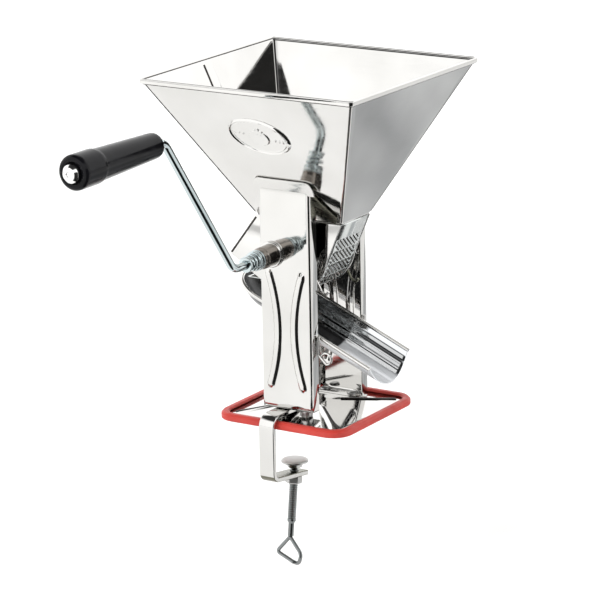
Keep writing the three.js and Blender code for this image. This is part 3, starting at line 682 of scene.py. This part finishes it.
def saddle(name, side):
    """The cradle on the hopper's wall: two wings to the lower corners and a band above the web."""
    wing = THROAT_X - 1
    right = [(0, 12), (18, 12), (wing - 3, 0.8), (wing, 9.5), (27.5, 28), (24, 38), (0, 38)]
    # Painted shade: the front saddle's right wing is in shaded steel and its left in bright steel, standing
    # in for a dark reflection on the right.
    for word, turn, material in (("left", -1, STEEL), ("right", 1, SHADE if side < 0 else STEEL)):
        outline = rounded_loop([(turn * x, up) for x, up in right], 1.6, 4)
        verts = [saddle_plane(side, x, up, 0.4 + SHEET) for x, up in outline]
        flat_sheet(f"{name}_saddle_{word}", verts, material, name, side * turn)
    wide, tall = 28, 10.6
    corners = [(-wide, -1.5), (wide, -1.5), (wide, tall), (-wide, tall)]
    band = rounded_loop(corners, 0.8, 3)[:8] + rounded_loop(corners, 7.5, 10)[22:]
    verts = [band_point(side, x, up, -0.15) for x, up in band]
    flat_sheet(f"{name}_band", verts, BAND, name, side)


def flat_sheet(name, verts, material, node, side, bevel=0.35):
    """A flat sheet from its outline, which runs the other way round where side is positive."""
    sheet = piece(name, verts, [tuple(range(len(verts)))], material, node)
    thicken(sheet, SHEET, bevel=bevel)
    if side > 0:
        sheet.data.flip_normals()


# ---- base ----
BASE_SHEET = 1.5
PYRAMID = {"edge": 50, "rise": 5.6, "run": 41}


def base_height(x, y):
    """Top face of the pressed base: a flat edge, a shallow pyramid and a bead on each diagonal."""
    away, other = max(abs(x), abs(y)), min(abs(x), abs(y))
    inward = PYRAMID["edge"] - away
    bead = 1.0 * bell(away - other, 2.0) * smooth((away - 8) / 6)
    slope = PYRAMID["rise"] * min(max(inward / PYRAMID["run"], 0), 1)
    return slope + bead * smooth(inward / 4) + sheet_wave(x, y, 500, 0.12)


def divided(outline, parts=84):
    """The outline with its long sides cut into short steps."""
    fine = []
    for (x, y), (to_x, to_y) in zip(outline, outline[1:] + outline[:1]):
        cuts = parts if hypot(to_x - x, to_y - y) > 0.5 else 1
        fine += [(mix(x, to_x, k / cuts), mix(y, to_y, k / cuts)) for k in range(cuts)]
    return fine


def base():
    """The pressed sheet, its small flat centre and dark strips of painted shade along the feet of its beads.
    """
    low, high = span("base_plate")
    floor = low.z + BASE_SHEET
    outline = divided(rounded_loop([(-1, -1), (1, -1), (1, 1), (-1, 1)], 12.0 / high.x, 7))
    steps = 60
    rows = []
    for i in range(steps + 1):
        scale = high.x * (0.02 + 0.98 * i / steps)
        places = [(x * scale, y * scale) for x, y in outline]
        rows.append([Vector((x, y, floor + base_height(x, y))) for x, y in places])
    plate = surface("base_sheet", rows, STEEL, "base_plate", closed=True, flip=True, sharp=60)
    thicken(plate, BASE_SHEET)
    lid = piece("base_centre", rows[0], [tuple(range(len(outline)))], STEEL, "base_plate")
    thicken(lid, BASE_SHEET, bevel=0)
    base_creases(floor)


CREASE = {"inner": 15, "outer": 47.5, "aside": 1.6, "width": 2.1, "tall": 0.6}


def base_creases(floor):
    """A thin sharp strip of painted shade along the foot of each diagonal bead."""
    section = oblong(CREASE["width"], CREASE["tall"], 0.2, 3)
    for number in range(4):
        sx, sy = (1, -1)[number % 2], (-1, 1)[number // 2]
        word = ("front", "rear")[number // 2] + ("_right", "_left")[number % 2]
        path = []
        for i in range(25):
            away = mix(CREASE["inner"], CREASE["outer"], i / 24)
            x, y = sx * away, sy * (away - CREASE["aside"])
            path.append(Vector((x, y, floor + base_height(x, y) + 0.2)))
        # Painted shade: the strip sits just above the sheet along the bead's foot.
        swept(f"crease_{word}", path, section, SHADE_LINE, "base_plate")


def edge_seal():
    """The rubber ring around the base's edge, with a groove for the sheet."""
    high = span("edge_seal")[1]
    half, top = 4.2, high.z - 0.9
    corners = [(-half, 2.2), (-half, top - 1.9), (-2.4, top), (1.2, top), (3.6, 5.6), (0.4, 5.3)]
    corners += [(0.4, 3.2), (half, 3.0), (half, 1.6), (-3.6, 1.6)]
    ring = [(-a, b) for a, b in rounded_loop(corners, 0.65, 4)]
    path = square_loop(high.x - half, 12.5, 0, 10)
    swept("seal_ring", path, ring, RUBBER, "edge_seal", closed=True, sharp=60)


# ---- housing ----
SCREEN_AT = Vector((AXIS.x, AXIS.z))
SCREEN_R = 37.5
SCREEN_END = radians(-130)


def screen_line():
    """Middle line of the strainer sheet as (x, z), from the throat to the peel lip."""
    start = Vector((THROAT_X - 0.6, THROAT_Z - 0.3))
    away = start - SCREEN_AT
    tangent = atan2(away.y, away.x) - acos_ratio(SCREEN_R, away.length)
    first = screen_arc(tangent)
    line = [start.lerp(first, i / 8) for i in range(8)]
    line += [screen_arc(mix(tangent, SCREEN_END, i / 60)) for i in range(61)]
    lip = Vector((span("strainer_screen")[0].x, 111.5))
    last = line[-1]
    return line + [last.lerp(lip, i / 5) for i in range(1, 6)]


def screen_arc(angle, out=0.0):
    """A point of the screen's round part."""
    return SCREEN_AT + Vector(polar(SCREEN_R + out, angle))


def acos_ratio(radius, distance):
    """The angle at the arc's middle between a point outside it and where its tangent touches."""
    return pi / 2 - asin(radius / distance)


class Along:
    """Places on a line by distance, with the direction there."""

    def __init__(self, line):
        self.line = line
        self.marks = [0.0]
        for a, b in zip(line, line[1:]):
            self.marks.append(self.marks[-1] + (b - a).length)

    def at(self, distance):
        distance = min(max(distance, 0), self.marks[-1])
        i = 0
        while i < len(self.marks) - 2 and self.marks[i + 1] < distance:
            i += 1
        part = (distance - self.marks[i]) / (self.marks[i + 1] - self.marks[i])
        direction = (self.line[i + 1] - self.line[i]).normalized()
        return self.line[i].lerp(self.line[i + 1], part), direction


SLOTS = {"pitch": 4.95, "row": 11.6, "length": 18.2, "radius": 0.6, "lean": radians(53.7), "burr": 0.3}
SLOT_EDGE = 3.0
SLOT_SHORTEST = 2.5
SLOT_COLUMNS = 30
SLOT_FIELD = {"from": 15.0, "short_of": 18}
STATION = 2.4
SAME_POINT = 0.001


def slot_axes(half, first, last):
    """End points of every slot as (distance down the sheet, y), cut short at the margins."""
    lean = SLOTS["lean"]
    reach = SLOTS["length"] / 2 - SLOTS["radius"]
    limit = half - SLOT_EDGE
    rows = int((last - first) / SLOTS["row"])
    axes = []
    for row in range(rows):
        middle = first + (row + 0.5) * SLOTS["row"]
        shift = (row + 0.5) * SLOTS["row"] * tan(lean)
        for column in range(-SLOT_COLUMNS, SLOT_COLUMNS + 1):
            y = column * SLOTS["pitch"] + shift
            low = max(-reach, (-limit - y) / sin(lean))
            high = min(reach, (limit - y) / sin(lean))
            if high - low < SLOT_SHORTEST:
                continue
            axes.append([(middle + t * cos(lean), y + t * sin(lean)) for t in (low, high)])
    return axes


def slot_outline(axis):
    """A slot's outline with rounded ends."""
    radius, lean = SLOTS["radius"], SLOTS["lean"]
    points = []
    for (s, y), start in ((axis[1], -pi / 2), (axis[0], pi / 2)):
        for i in range(5):
            turn = lean + start + pi * i / 4
            points.append(Vector((s + radius * cos(turn), y + radius * sin(turn))))
    return points


def inside(outline, point):
    """True inside a convex outline that runs counterclockwise."""
    for a, b in zip(outline, outline[1:] + outline[:1]):
        if (b - a).cross(point - a) < 0:
            return False
    return True


def burr_lift(axis, point):
    """Height of the raised lip along one side of a slot."""
    a, b = Vector(axis[0]), Vector(axis[1])
    along = (b - a).normalized()
    u = (point - a).dot(along) / (b - a).length
    v = along.cross(point - a)
    on_side = abs(v - SLOTS["radius"]) < 0.05
    if not on_side or not 0 <= u <= 1:
        return 0.0
    return SLOTS["burr"] * (1 - (2 * u - 1) ** 2)


def screen_plan(outlines, length, half):
    """Points and edges of the flat sheet: the slots, and a line across at each station."""
    points, edges = [], []
    for outline in outlines:
        start, count = len(points), len(outline)
        points += outline
        edges += [(start + i, start + (i + 1) % count) for i in range(count)]
    stations = int(length / STATION)
    for i in range(stations + 1):
        edges.append((len(points), len(points) + 1))
        points += [Vector((length * i / stations, y)) for y in (-half, half)]
    return points, edges


def open_faces(flat, faces, outlines):
    """The faces that aren't in a slot."""
    kept = []
    for face in faces:
        middle = sum((flat[i] for i in face), Vector((0, 0))) / len(face)
        near = [outline for outline in outlines if abs(outline[0].x - middle.x) < SLOTS["length"]]
        if not any(inside(outline, middle) for outline in near):
            kept.append(tuple(face)[::-1])
    return kept


def strainer_screen():
    """The curved sheet with its ranks of slanted slots, each with a raised lip."""
    along = Along(screen_line())
    half = THROAT_Y - SHEET - 0.3
    length = along.marks[-1]
    axes = slot_axes(half, SLOT_FIELD["from"], length - SLOT_FIELD["short_of"])
    outlines = [slot_outline(axis) for axis in axes]
    points, edges = screen_plan(outlines, length, half)
    flat, _, faces, _, _, _ = delaunay_2d_cdt(points, edges, [], 0, SAME_POINT)
    verts = []
    for spot in flat:
        lift = max(burr_lift(axis, spot) for axis in axes)
        point, direction = along.at(spot.x)
        verts.append(Vector((point.x + direction.y * lift, spot.y, point.y - direction.x * lift)))
    kept = open_faces(flat, faces, outlines)
    sheet = piece("screen_sheet", verts, kept, SCREEN, "strainer_screen", sharp=30)
    thicken(sheet, 0.9, offset=0, bevel=0)


def cheeks():
    """Side plates of the housing, each with a rolled lower edge and a hem beside the apron, dark with painted
    shade.
    """
    end = (CHEEK_LOW.x, 130.0)
    arc = [(point.x, point.y) for point in screen_line()[8:69]]
    outline = [(THROAT_X, THROAT_Z - 0.3)] + arc + [end, (-THROAT_X, THROAT_Z - 0.3)]
    for name, side in (("front_cheek", -1), ("rear_cheek", 1)):
        verts = [Vector((x, side * THROAT_Y, z)) for x, z in outline]
        flat_sheet(f"{name}_plate", verts, STEEL, name, side, bevel=0.3)
        places = [screen_arc(mix(0, SCREEN_END, i / 60), 0.4) for i in range(61)]
        rim = [Vector((place.x, side * (THROAT_Y + 0.1), place.y)) for place in places]
        swept(f"{name}_rim", rim, oblong(1.5, 1.5, 0.7), STEEL, name, up=Y)
        # Painted shade: the hem is a dark wire standing in for the shade along the cheek's edge.
        ends = [(-THROAT_X + 0.4, THROAT_Z - 2.5), (end[0] + 1.2, end[1] + 1.2)]
        hem = [Vector((x, side * (THROAT_Y + 0.9), z)) for x, z in ends]
        swept(f"{name}_hem", hem, circle(0.9, 12), SHADE_LINE, name, up=Y)


def peel_apron():
    """The flat chute beside the screen's lip, with a bend near its end."""
    low, high = span("peel_apron")
    hinge = (-THROAT_X + 0.7, 0, THROAT_Z - 0.7)
    route = [hinge, (low.x + 4.2, 0, low.z + 2.4), (low.x + 0.8, 0, low.z + 0.8)]
    swept("apron_plate", rounded(route, 2.5, 6), oblong(2 * high.y, 1.0, 0.45, 3), STEEL, "peel_apron")


# ---- wires ----
def clips_and_hooks():
    """The wire clips that hold the screen and the hooks that hold the gutter."""
    wire, ring = 1.1, 4.6
    # Painted shade: the rear clip is in shaded steel to dull its bright reflection.
    for side, word, clip_steel_or_shade in ((-1, "front", STEEL), (1, "rear", SHADE)):
        y = side * (THROAT_Y + 1.4)
        clip = rounded([(14, y, 122), (20.5, y, 109.5), (25, y, 106), (27.5, y, 109.5)], [4, 2.2], 12)
        swept(f"clip_{word}", clip, circle(wire, 20), clip_steel_or_shade, f"screen_clip_{word}", up=Y)
        low, high = span(f"gutter_hook_{word}")
        y = (low.y + high.y) / 2
        x, z = high.x - ring - wire, low.z + ring + wire
        stem = low.x + wire
        path = rounded([(stem, y, high.z), (stem, y, z + 2), (x, y, z - ring)], 3, 8)
        for i in range(1, 29):
            across_by, up_by = polar(ring, -pi / 2 + radians(255) * i / 28)
            path.append(Vector((x + across_by, y, z + up_by)))
        swept(f"hook_{word}", path, circle(wire, 16), STEEL, f"gutter_hook_{word}", up=Y)


# ---- gutter ----
GUTTER = {"slope": radians(23.5), "z": 83.4, "half": 30, "depth": 17, "closed": -38, "outlet": 80}
GUTTER_PLACE = Matrix.Translation((0, 0, GUTTER["z"])) @ Matrix.Rotation(GUTTER["slope"], 4, "Y")
GUTTER_SHEET = 0.9
TONGUE = {"floor": 3.5, "rim": 5.0}
FLUTE = {"start": 13.5, "pitch": 4.9, "height": 0.34}


def trough(out):
    """Height of the trough's round floor, below its rim, at a distance from its middle."""
    half, depth = GUTTER["half"], GUTTER["depth"]
    ball = (half * half + depth * depth) / (2 * depth)
    return ball - depth - sqrt(max(ball * ball - out * out, 0))


def outlet_at(out):
    """Where the trough ends: the floor runs on past the rims as a rounded tongue."""
    floor_end = GUTTER["outlet"] + TONGUE["floor"]
    return floor_end - (TONGUE["floor"] + TONGUE["rim"]) * (out / GUTTER["half"]) ** 2


def flutes(out, angle):
    """Shallow lengthwise flutes on the rear flank."""
    if sin(angle) < 0.9:
        return 0.0
    turn = 2 * pi * (out - FLUTE["start"]) / FLUTE["pitch"]
    return FLUTE["height"] * sin(turn) * smooth((out - FLUTE["start"]) / 4)


def trough_stations(steps=40):
    """(share of the length, direction): from one side of the outlet around the closed end to the other."""
    shares = [i / steps for i in range(steps + 1)]
    ahead = [(1 - share, pi / 2) for share in shares]
    around = [(0, pi / 2 + pi * share) for share in shares[1:-1]]
    return ahead + around + [(share, 3 * pi / 2) for share in shares]


def gutter_point(out, part, angle, z=0.0):
    """A point of the gutter before it is tilted."""
    x = mix(GUTTER["closed"], outlet_at(out), part)
    return Vector((x + out * cos(angle), out * sin(angle), z))


def juice_gutter():
    """The trough, its rolled lip and the strip along its middle."""
    half, levels = GUTTER["half"], 42
    stations = trough_stations()
    rows = []
    for i in range(levels + 1):
        out = half * (0.02 + 0.98 * i / levels)
        row = []
        for part, angle in stations:
            point = gutter_point(out, part, angle, trough(out) + flutes(out, angle))
            point.z += sheet_wave(point.x, point.y, 900, 0.15)
            row.append(GUTTER_PLACE @ point)
        rows.append(row)
    # The trough's steel carries painted shade: near black over the inner end, half dark on the rear flank.
    thicken(surface("gutter_shell", rows, SHADED_TROUGH, "juice_gutter", sharp=60), GUTTER_SHEET)
    edge = [GUTTER_PLACE @ gutter_point(half, part, angle) for part, angle in stations]
    swept("gutter_lip", edge, circle(1.75, 18), STEEL, "juice_gutter")
    middle = []
    for i in range(41):
        x = mix(outlet_at(0), GUTTER["closed"], i / 40)
        middle.append([GUTTER_PLACE @ Vector((x, y, trough(abs(y)))) for y in (-0.6, 0, 0.6)])
    # The middle strip carries the same painted shade.
    keel = surface("gutter_keel", middle, SHADED_TROUGH, "juice_gutter", flip=True)
    thicken(keel, GUTTER_SHEET, bevel=0)


# ---- bearings, crank and roller ----
ROD = 3.4
BORE = 3.7
FIT = {"bore": 3.5, "wall": 8.75, "face": 20.1}


def axle_point(y=0.0):
    """A point on the crank's axle."""
    return Vector((AXIS.x, y, AXIS.z))


def bearings():
    """The long front hub with its collar, and the rear bush."""
    bore, wall, face = FIT["bore"], FIT["wall"], FIT["face"]
    nose = span("front_hub")[0].y
    hub = [(bore, nose), (wall - 0.5, nose), (wall - 0.5, nose + 4), (wall, nose + 4.6)]
    hub += [(wall, -face), (bore, -face), (bore, nose)]
    turned("hub_tube", hub, HUB, "front_hub", ease=0.4)
    front, inner, outer = -43.3, wall + 0.1, wall + 1.8
    ring = [(inner, front - 2.3), (outer - 0.7, front - 2.3), (outer, front - 1.6), (outer, front)]
    ring += [(inner, front), (inner, front - 2.3)]
    turned("hub_collar", ring, STEEL, "front_hub")
    end, lip = span("rear_bearing")[1].y, wall + 1.7
    rear = [(bore, face), (wall, face), (wall, end - 2.4), (lip, end - 2.4), (lip, end - 0.5)]
    rear += [(6, end), (bore, end), (bore, face)]
    turned("rear_bush", rear, HUB, "rear_bearing", ease=0.4)


def crank():
    """The bent rod: the shaft, the leaning arm and the grip's spindle."""
    low, high = span("crank_rod")
    elbow = axle_point(-98.0)
    top = (SPINDLE.x, span("grip")[1].y + 12, SPINDLE.z)
    path = rounded([axle_point(high.y), elbow, top, (SPINDLE.x, low.y, SPINDLE.z)], 12, 24)
    swept("crank_bar", path, circle(ROD, 32), CHROME, "crank_rod", "crank", up=X)


def axle_rings():
    """Washer, collar, clip and spring cup on the shaft, each turned with a bore."""
    for name, radius in (("hub_washer", 8.2), ("spring_collar", 6.2), ("rear_clip", 6.0)):
        low, high = span(name)
        ring = tube(BORE, radius, low.y, high.y)
        turned(f"{name}_ring", ring, CHROME, name, "crank", ease=0.45)
    cup = [(6.9, -68.4), (8.0, -68.4), (8.0, -66.2), (BORE, -66.2), (BORE, -67.2), (6.9, -67.2), (6.9, -68.4)]
    turned("spring_cup", cup, CHROME, None, "crank")


def spring():
    """The coil on the shaft, wider towards the hub and closer wound at its ends."""
    low, high = span("crank_spring")
    turns, thick, steps = 2.7, 1.25, 230
    path = []
    for i in range(steps + 1):
        part = i / steps
        angle = 2 * pi * turns * part
        coil = mix(5.2, 6.7, part)
        y = mix(low.y + thick, high.y - 0.1 - thick, smooth(part) * 0.35 + part * 0.65)
        path.append(Vector((AXIS.x + coil * cos(angle), y, AXIS.z + coil * sin(angle))))
    swept("spring_coil", path, circle(thick, 12), CHROME, "crank_spring", "crank", up=Y)


def roller():
    """The white roller: a waisted barrel, four paddles and the pin through the shaft."""
    low, high = span("roller_core")
    ends, waist = 7.4, 6.8
    core = [(BORE, low.y), (ends, low.y), (ends, low.y + 3), (waist, low.y + 4), (waist, high.y - 4)]
    core += [(ends, high.y - 3), (ends, high.y), (BORE, high.y), (BORE, low.y)]
    turned("roller_barrel", core, WHITE, "roller_core", "crank", ease=0.5)
    for number in range(4):
        paddle(f"paddle_{number + 1}", pi / 2 * (number + 0.5), high.y)
    low, high = span("roller_pin")
    pin = [(0.01, low.z), (1.2, low.z), (1.2, high.z), (0.01, high.z)]
    turned("cross_pin", pin, CHROME, "roller_pin", "crank", Z, (AXIS.x, 0, 0))


def paddle(name, angle, half):
    """A blade with a thick root and a hooked tip."""
    tip = 35.6
    blade = [(7.0, -2.4), (12, -1.4), (tip - 5, -1.0), (tip, -3.0), (tip, -1.4), (tip - 4.6, 1.0)]
    outline = rounded_loop(blade + [(12, 1.4), (7.0, 2.4)], 0.3, 3)
    turn = Matrix.Rotation(angle, 3, "Y")
    verts = [turn @ Vector((a, y, b)) + axle_point() for y in (-half, half) for a, b in outline]
    count = len(outline)
    faces = [tuple(range(count)), tuple(reversed(range(count, 2 * count)))]
    faces += [(count + i, count + (i + 1) % count, (i + 1) % count, i) for i in range(count)]
    piece(f"{name}_blade", verts, faces, WHITE, name, "crank")


def grip():
    """The black handle, waisted towards the crank, and its bright domed cap."""
    centre = Vector((SPINDLE.x, 0, SPINDLE.z))
    outer, inner = (corner.y for corner in span("grip"))
    step = outer + 27
    profile = [(3.5, inner), (8.2, inner), (9.7, inner - 1.0), (10.1, inner - 3.5), (12.0, step + 14)]
    profile += [(12.5, step + 3), (12.65, step + 0.6), (13.2, step - 0.6), (13.5, step - 3)]
    profile += [(13.5, outer + 4), (13.3, outer + 2.2), (12.0, outer + 0.6), (10.4, outer)]
    profile += [(8.4, outer + 0.3), (8.0, outer + 1.6), (3.5, outer + 1.6), (3.5, inner)]
    turned("grip_body", profile, BLACK, "grip", "grip", Y, centre, 1.2, 96)
    end, root = (corner.y for corner in span("grip_cap"))
    cap = [(0.01, end + 1.5), (1.5, end + 1.4), (1.9, end + 0.6), (3.0, end + 0.1), (5.2, end + 1.2)]
    cap += [(7.0, end + 3.2), (7.3, root + 0.6), (3.8, root + 0.8), (0.01, root + 0.8)]
    turned("grip_button", cap, BRIGHT, "grip_cap", "crank", Y, centre, 0.7)


# ---- clamp ----
STRAP = {"thick": 4.0, "arm": -40.0, "tip": -15.0}
FEED_TURN = Z.rotation_difference(FEED)


def clamp():
    """The bent strap under the base, its nut, the screw, the loop and the pad."""
    low, high = span("clamp_bracket")
    half, arm, tip = STRAP["thick"] / 2, STRAP["arm"], STRAP["tip"]
    x, front, top = (low.x + high.x) / 2, low.y + half, high.z - half
    droop = atan2(FEED.y, FEED.z)
    route = [(x, -25, top), (x, front, top), (x, front, arm), (x, tip, arm - (tip - front) * tan(droop))]
    section = oblong(high.x - low.x, STRAP["thick"], 0.9)
    strap = swept("clamp_strap", rounded(route, [8, 6.5], 14), section, STEEL, "clamp_bracket")
    # Painted shade: the lower arm's flat faces are in shaded steel, a painted reflection of the dark
    # underside above them.
    strap.data.materials.append(SHADE)
    for face in strap.data.polygons:
        if face.center.z < arm * MM * 0.8 and abs(face.normal.z) > 0.3:
            face.material_index = 1
    hexagon(-half - 0.3)
    pressure_pad()
    screw()
    loop()


def pressure_pad():
    """A flat disc with a socket for the screw's tip."""
    low, high = span("pressure_pad")
    x, y, z = (low.x + high.x) / 2, (low.y + high.y) / 2, high.z
    pad = [(0.01, z), (9.6, z), (9.9, z - 0.5), (11, z - 0.7), (11, z - 2.0), (9.4, z - 2.7), (6.6, z - 3.5)]
    pad += [(6.0, z - 6.2), (4.2, z - 6.2), (4.2, z - 3.0), (0.01, z - 3.0)]
    turned("pad_disc", pad, ZINC, "pressure_pad", "pad", Z, (x, y, 0), 0.4)


def hexagon(under):
    """The nut welded under the arm, with chamfered corners and a bore."""
    levels = [(under, 6.2), (under - 0.8, 6.8), (under - 5.2, 6.8), (under - 6.0, 6.2)]
    bore, ring, sixth = 3.95, 48, pi / 3
    verts = []
    for outer in (True, False):
        for along, radius in levels:
            for i in range(ring):
                angle = 2 * pi * i / ring
                flat = cos(sixth / 2) / cos((angle + sixth / 2) % sixth - sixth / 2)
                verts.append(screw_point(*polar(radius * flat if outer else bore, angle), along))
    faces = []
    inner = len(levels) * ring
    for a in range(0, 3 * ring, ring):
        b = a + ring
        for i in range(ring):
            k = (i + 1) % ring
            faces.append((a + i, b + i, b + k, a + k))
            faces.append((inner + a + i, inner + a + k, inner + b + k, inner + b + i))
    for a in (0, 3 * ring):
        for i in range(ring):
            k = (i + 1) % ring
            quad = (a + i, a + k, inner + a + k, inner + a + i)
            faces.append(quad if a == 0 else quad[::-1])
    piece("nut_hexagon", verts, faces, ZINC, "clamp_nut", sharp=25)


def screw_point(x, y, along):
    """A point in the screw's own frame: its axis is the way the pad climbs."""
    return SCREW_AT + FEED_TURN @ Vector((x, y, along))


THREAD = {"pitch": 1.5, "depth": 0.55, "sides": 40, "steps": 10}
SHANK = {"thread": 3.6, "tail": 2.45, "tip": 2.55, "low": -52.0, "high": 8.1, "bare": 13, "shoulder": 2.5}


def shank(z):
    """Radius of the clamp screw and share of its thread's depth at a height."""
    up, full = z - SHANK["low"], SHANK["thread"]
    if up < SHANK["bare"]:
        return mix(SHANK["tail"], full, smooth((up - 10.5) / 2.5)), 0.0
    taper = min(max((z - SHANK["shoulder"]) / 1.6, 0), 1)
    threaded = smooth((up - SHANK["bare"]) / 2) * smooth((2.6 - z) / 1.5)
    return mix(full, SHANK["tip"], taper), threaded


def screw():
    """The clamp screw with a real helical thread, a bare tip and a slimmer tail."""
    sides, pitch = THREAD["sides"], THREAD["pitch"]
    verts = []
    z = SHANK["low"]
    rows = 0
    while z <= SHANK["high"]:
        core, threaded = shank(z)
        for i in range(sides):
            phase = (z / pitch - i / sides) % 1.0
            radius = core - THREAD["depth"] * threaded * (1 - abs(2 * phase - 1)) ** 1.2
            verts.append(screw_point(*polar(radius, 2 * pi * i / sides), z))
        z += pitch / THREAD["steps"]
        rows += 1
    faces = grid_faces(rows, sides, close_columns=True)
    faces.append(tuple(reversed(range(sides))))
    faces.append(tuple(range((rows - 1) * sides, rows * sides)))
    # The screw is in chrome darkened with painted shade.
    piece("screw_thread", verts, faces, SHADED_CHROME, "clamp_screw", "screw", sharp=60)


def loop():
    """The wire loop that turns the screw: a rounded triangle whose ends lap at its lower side."""
    corners = [(5.0, -1.3, 20.4), (-12.2, 0, 14.4), (-0.4, 0, 0.6), (11.2, 0, 13.4), (9.2, 0, 21.4)]
    corners.append((1.6, 1.3, 20.8))
    top = SHANK["low"] - 0.2
    path = rounded([screw_point(x, y, top - down) for x, y, down in corners], [2.2, 1.6, 7, 3.0], 10)
    # The loop is in chrome darkened with painted shade.
    swept("loop_wire", path, circle(1.6, 20), SHADED_CHROME, "wire_loop", "screw", up=Y)


# ---- fasteners ----
def rivets():
    """Domed rivets, two of them square to the base's slope, and the spacer under the front foot."""
    slope = atan(PYRAMID["rise"] / PYRAMID["run"])
    for name in ("strap_rivet", "spacer_rivet", "rear_rivet_left", "rear_rivet_right"):
        low, high = span(name)
        centre = (low + high) / 2
        tilted = name.startswith("rear")
        axis = Vector((0, sin(slope), cos(slope))) if tilted else Z
        top, bottom = high.z - centre.z - (0.3 if tilted else 0), low.z - centre.z
        head, neck, foot = 4.5, 2.3, 3.6
        profile = [(0.01, bottom), (foot, bottom), (foot, bottom + 1.4), (neck, bottom + 1.4)]
        profile += [(neck, top - 2.0), (head, top - 2.0), (head - 0.5, top - 1.0), (head - 2.0, top - 0.25)]
        profile.append((0.01, top))
        turned(f"{name}_dome", profile, ZINC, name, "stand", axis, centre, 0.5, 40)
    low, high = span("foot_spacer")
    at = ((low.x + high.x) / 2, (low.y + high.y) / 2, 0)
    ring = tube(2.8, 5, low.z, high.z)
    turned("spacer_ring", ring, ZINC, "foot_spacer", "stand", Z, at, 0.4)


# ---- studio ----
def camera():
    """The photograph's viewing angle: a long lens, a little to the right and above."""
    yaw, pitch, roll = radians(32.44), radians(-15.38), radians(-1.1)
    data = bpy.data.cameras.new("camera")
    data.sensor_width = 36
    data.lens = 196.2
    data.clip_end = 50
    eye = bpy.data.objects.new("camera", data)
    bpy.context.collection.objects.link(eye)
    forward = Vector((-sin(yaw) * cos(pitch), cos(yaw) * cos(pitch), sin(pitch)))
    level = Vector((cos(yaw), sin(yaw), 0))
    right = Quaternion(forward, -roll) @ level
    turn = Matrix((right, right.cross(forward), -forward)).transposed().to_4x4()
    eye.matrix_world = Matrix.Translation((1.3425, -2.1338, 0.7874)) @ turn
    bpy.context.scene.camera = eye


def flat_card(name, size, centre, facing, material):
    """A square card that faces a direction."""
    mesh = bpy.data.meshes.new(name)
    w, h = size[0] / 2, size[1] / 2
    mesh.from_pydata([(-w, -h, 0), (w, -h, 0), (w, h, 0), (-w, h, 0)], [], [(0, 1, 2, 3)])
    thing = bpy.data.objects.new(name, mesh)
    thing.location = centre
    thing.rotation_euler = Vector(facing).to_track_quat("Z", "Y").to_euler()
    mesh.materials.append(material)
    bpy.context.collection.objects.link(thing)
    return thing


def studio_paint(name, tints, clouds, rough):
    """A matt paint for the studio's cards."""
    material, tree, shader = nodes_of(name)
    tint = ramp(tree, noise_node(tree, *clouds), [(0.3, tints[0]), (0.7, tints[1])])
    feed(tree, shader, {"Base Color": tint, "Roughness": rough})
    return material


def flags(dark, grey):
    """Cards that are seen only in reflections: two upright ones and two on the floor."""
    low = cad_bounds[0][2]
    cards = {}
    for name, turn in (("flag_near", 33), ("flag_side", 62)):
        out = Vector((sin(radians(turn)), -cos(radians(turn)), 0))
        cards[name] = ((0.32, 0.5), out * 0.56 + Vector((0, 0, low + 0.25)), -out, dark)
    cards["flag_floor"] = ((0.44, 0.46), Vector((0.245, -0.28, low + 0.0004)), Z, dark)
    cards["flag_grey"] = ((0.5, 0.7), Vector((0.27, 0.60, low + 0.0004)), Z, grey)
    for name, card in cards.items():
        flag = flat_card(name, *card)
        flag.visible_camera = False
        flag.visible_diffuse = False
        flag.visible_shadow = False


def sky():
    """Light from the horizon up to the hopper's mirror angle, and almost black overhead."""
    world = bpy.data.worlds.new("studio")
    bpy.context.scene.world = world
    world.use_nodes = True
    tree = world.node_tree
    coordinates = tree.nodes.new("ShaderNodeTexCoord")
    split = tree.nodes.new("ShaderNodeSeparateXYZ")
    tree.links.new(coordinates.outputs["Generated"], split.inputs["Vector"])
    shade = ramp(tree, split.outputs["Z"], [(0.0, 1.0), (0.69, 1.0), (0.79, 0.03), (1.0, 0.015)])
    feed(tree, tree.nodes["Background"], {"Color": shade, "Strength": 1.6})


def studio():
    """A pale floor, the cards, the sky and two soft lamps."""
    pale = studio_paint("studio_floor", ((0.90, 0.90, 0.895), (0.93, 0.93, 0.925)), (2, 3), 0.9)
    flat_card("floor", (30, 30), (0, 0, cad_bounds[0][2] - 0.0006), Z, pale)
    dark, tree, shader = nodes_of("studio_dark")
    feed(tree, shader, {"Base Color": (0.004, 0.004, 0.004, 1), "Roughness": 1.0})
    grey = studio_paint("studio_grey", ((0.30, 0.31, 0.32), (0.62, 0.63, 0.64)), (5, 2), 1.0)
    flags(dark, grey)
    sky()
    lamp("key", (-1.3, -1.9, 2.2), 1.6, 62)
    lamp("fill", (-0.8, 2.6, 2.4), 2.0, 40)
    bpy.context.scene.view_settings.view_transform = "Standard"


def lamp(name, place, size, power):
    """A square lamp that faces the object and isn't seen in reflections."""
    light = bpy.data.lights.new(name, "AREA")
    light.size = size
    light.energy = power
    thing = bpy.data.objects.new(name, light)
    thing.location = place
    thing.rotation_euler = (-Vector(place)).to_track_quat("-Z", "Y").to_euler()
    thing.visible_glossy = False
    bpy.context.collection.objects.link(thing)


camera()
studio()
hopper()
badge()
lap_seam()
post("front_post", -1)
post("rear_post", 1)
base()
edge_seal()
strainer_screen()
cheeks()
peel_apron()
clips_and_hooks()
juice_gutter()
bearings()
crank()
axle_rings()
spring()
roller()
grip()
clamp()
rivets()
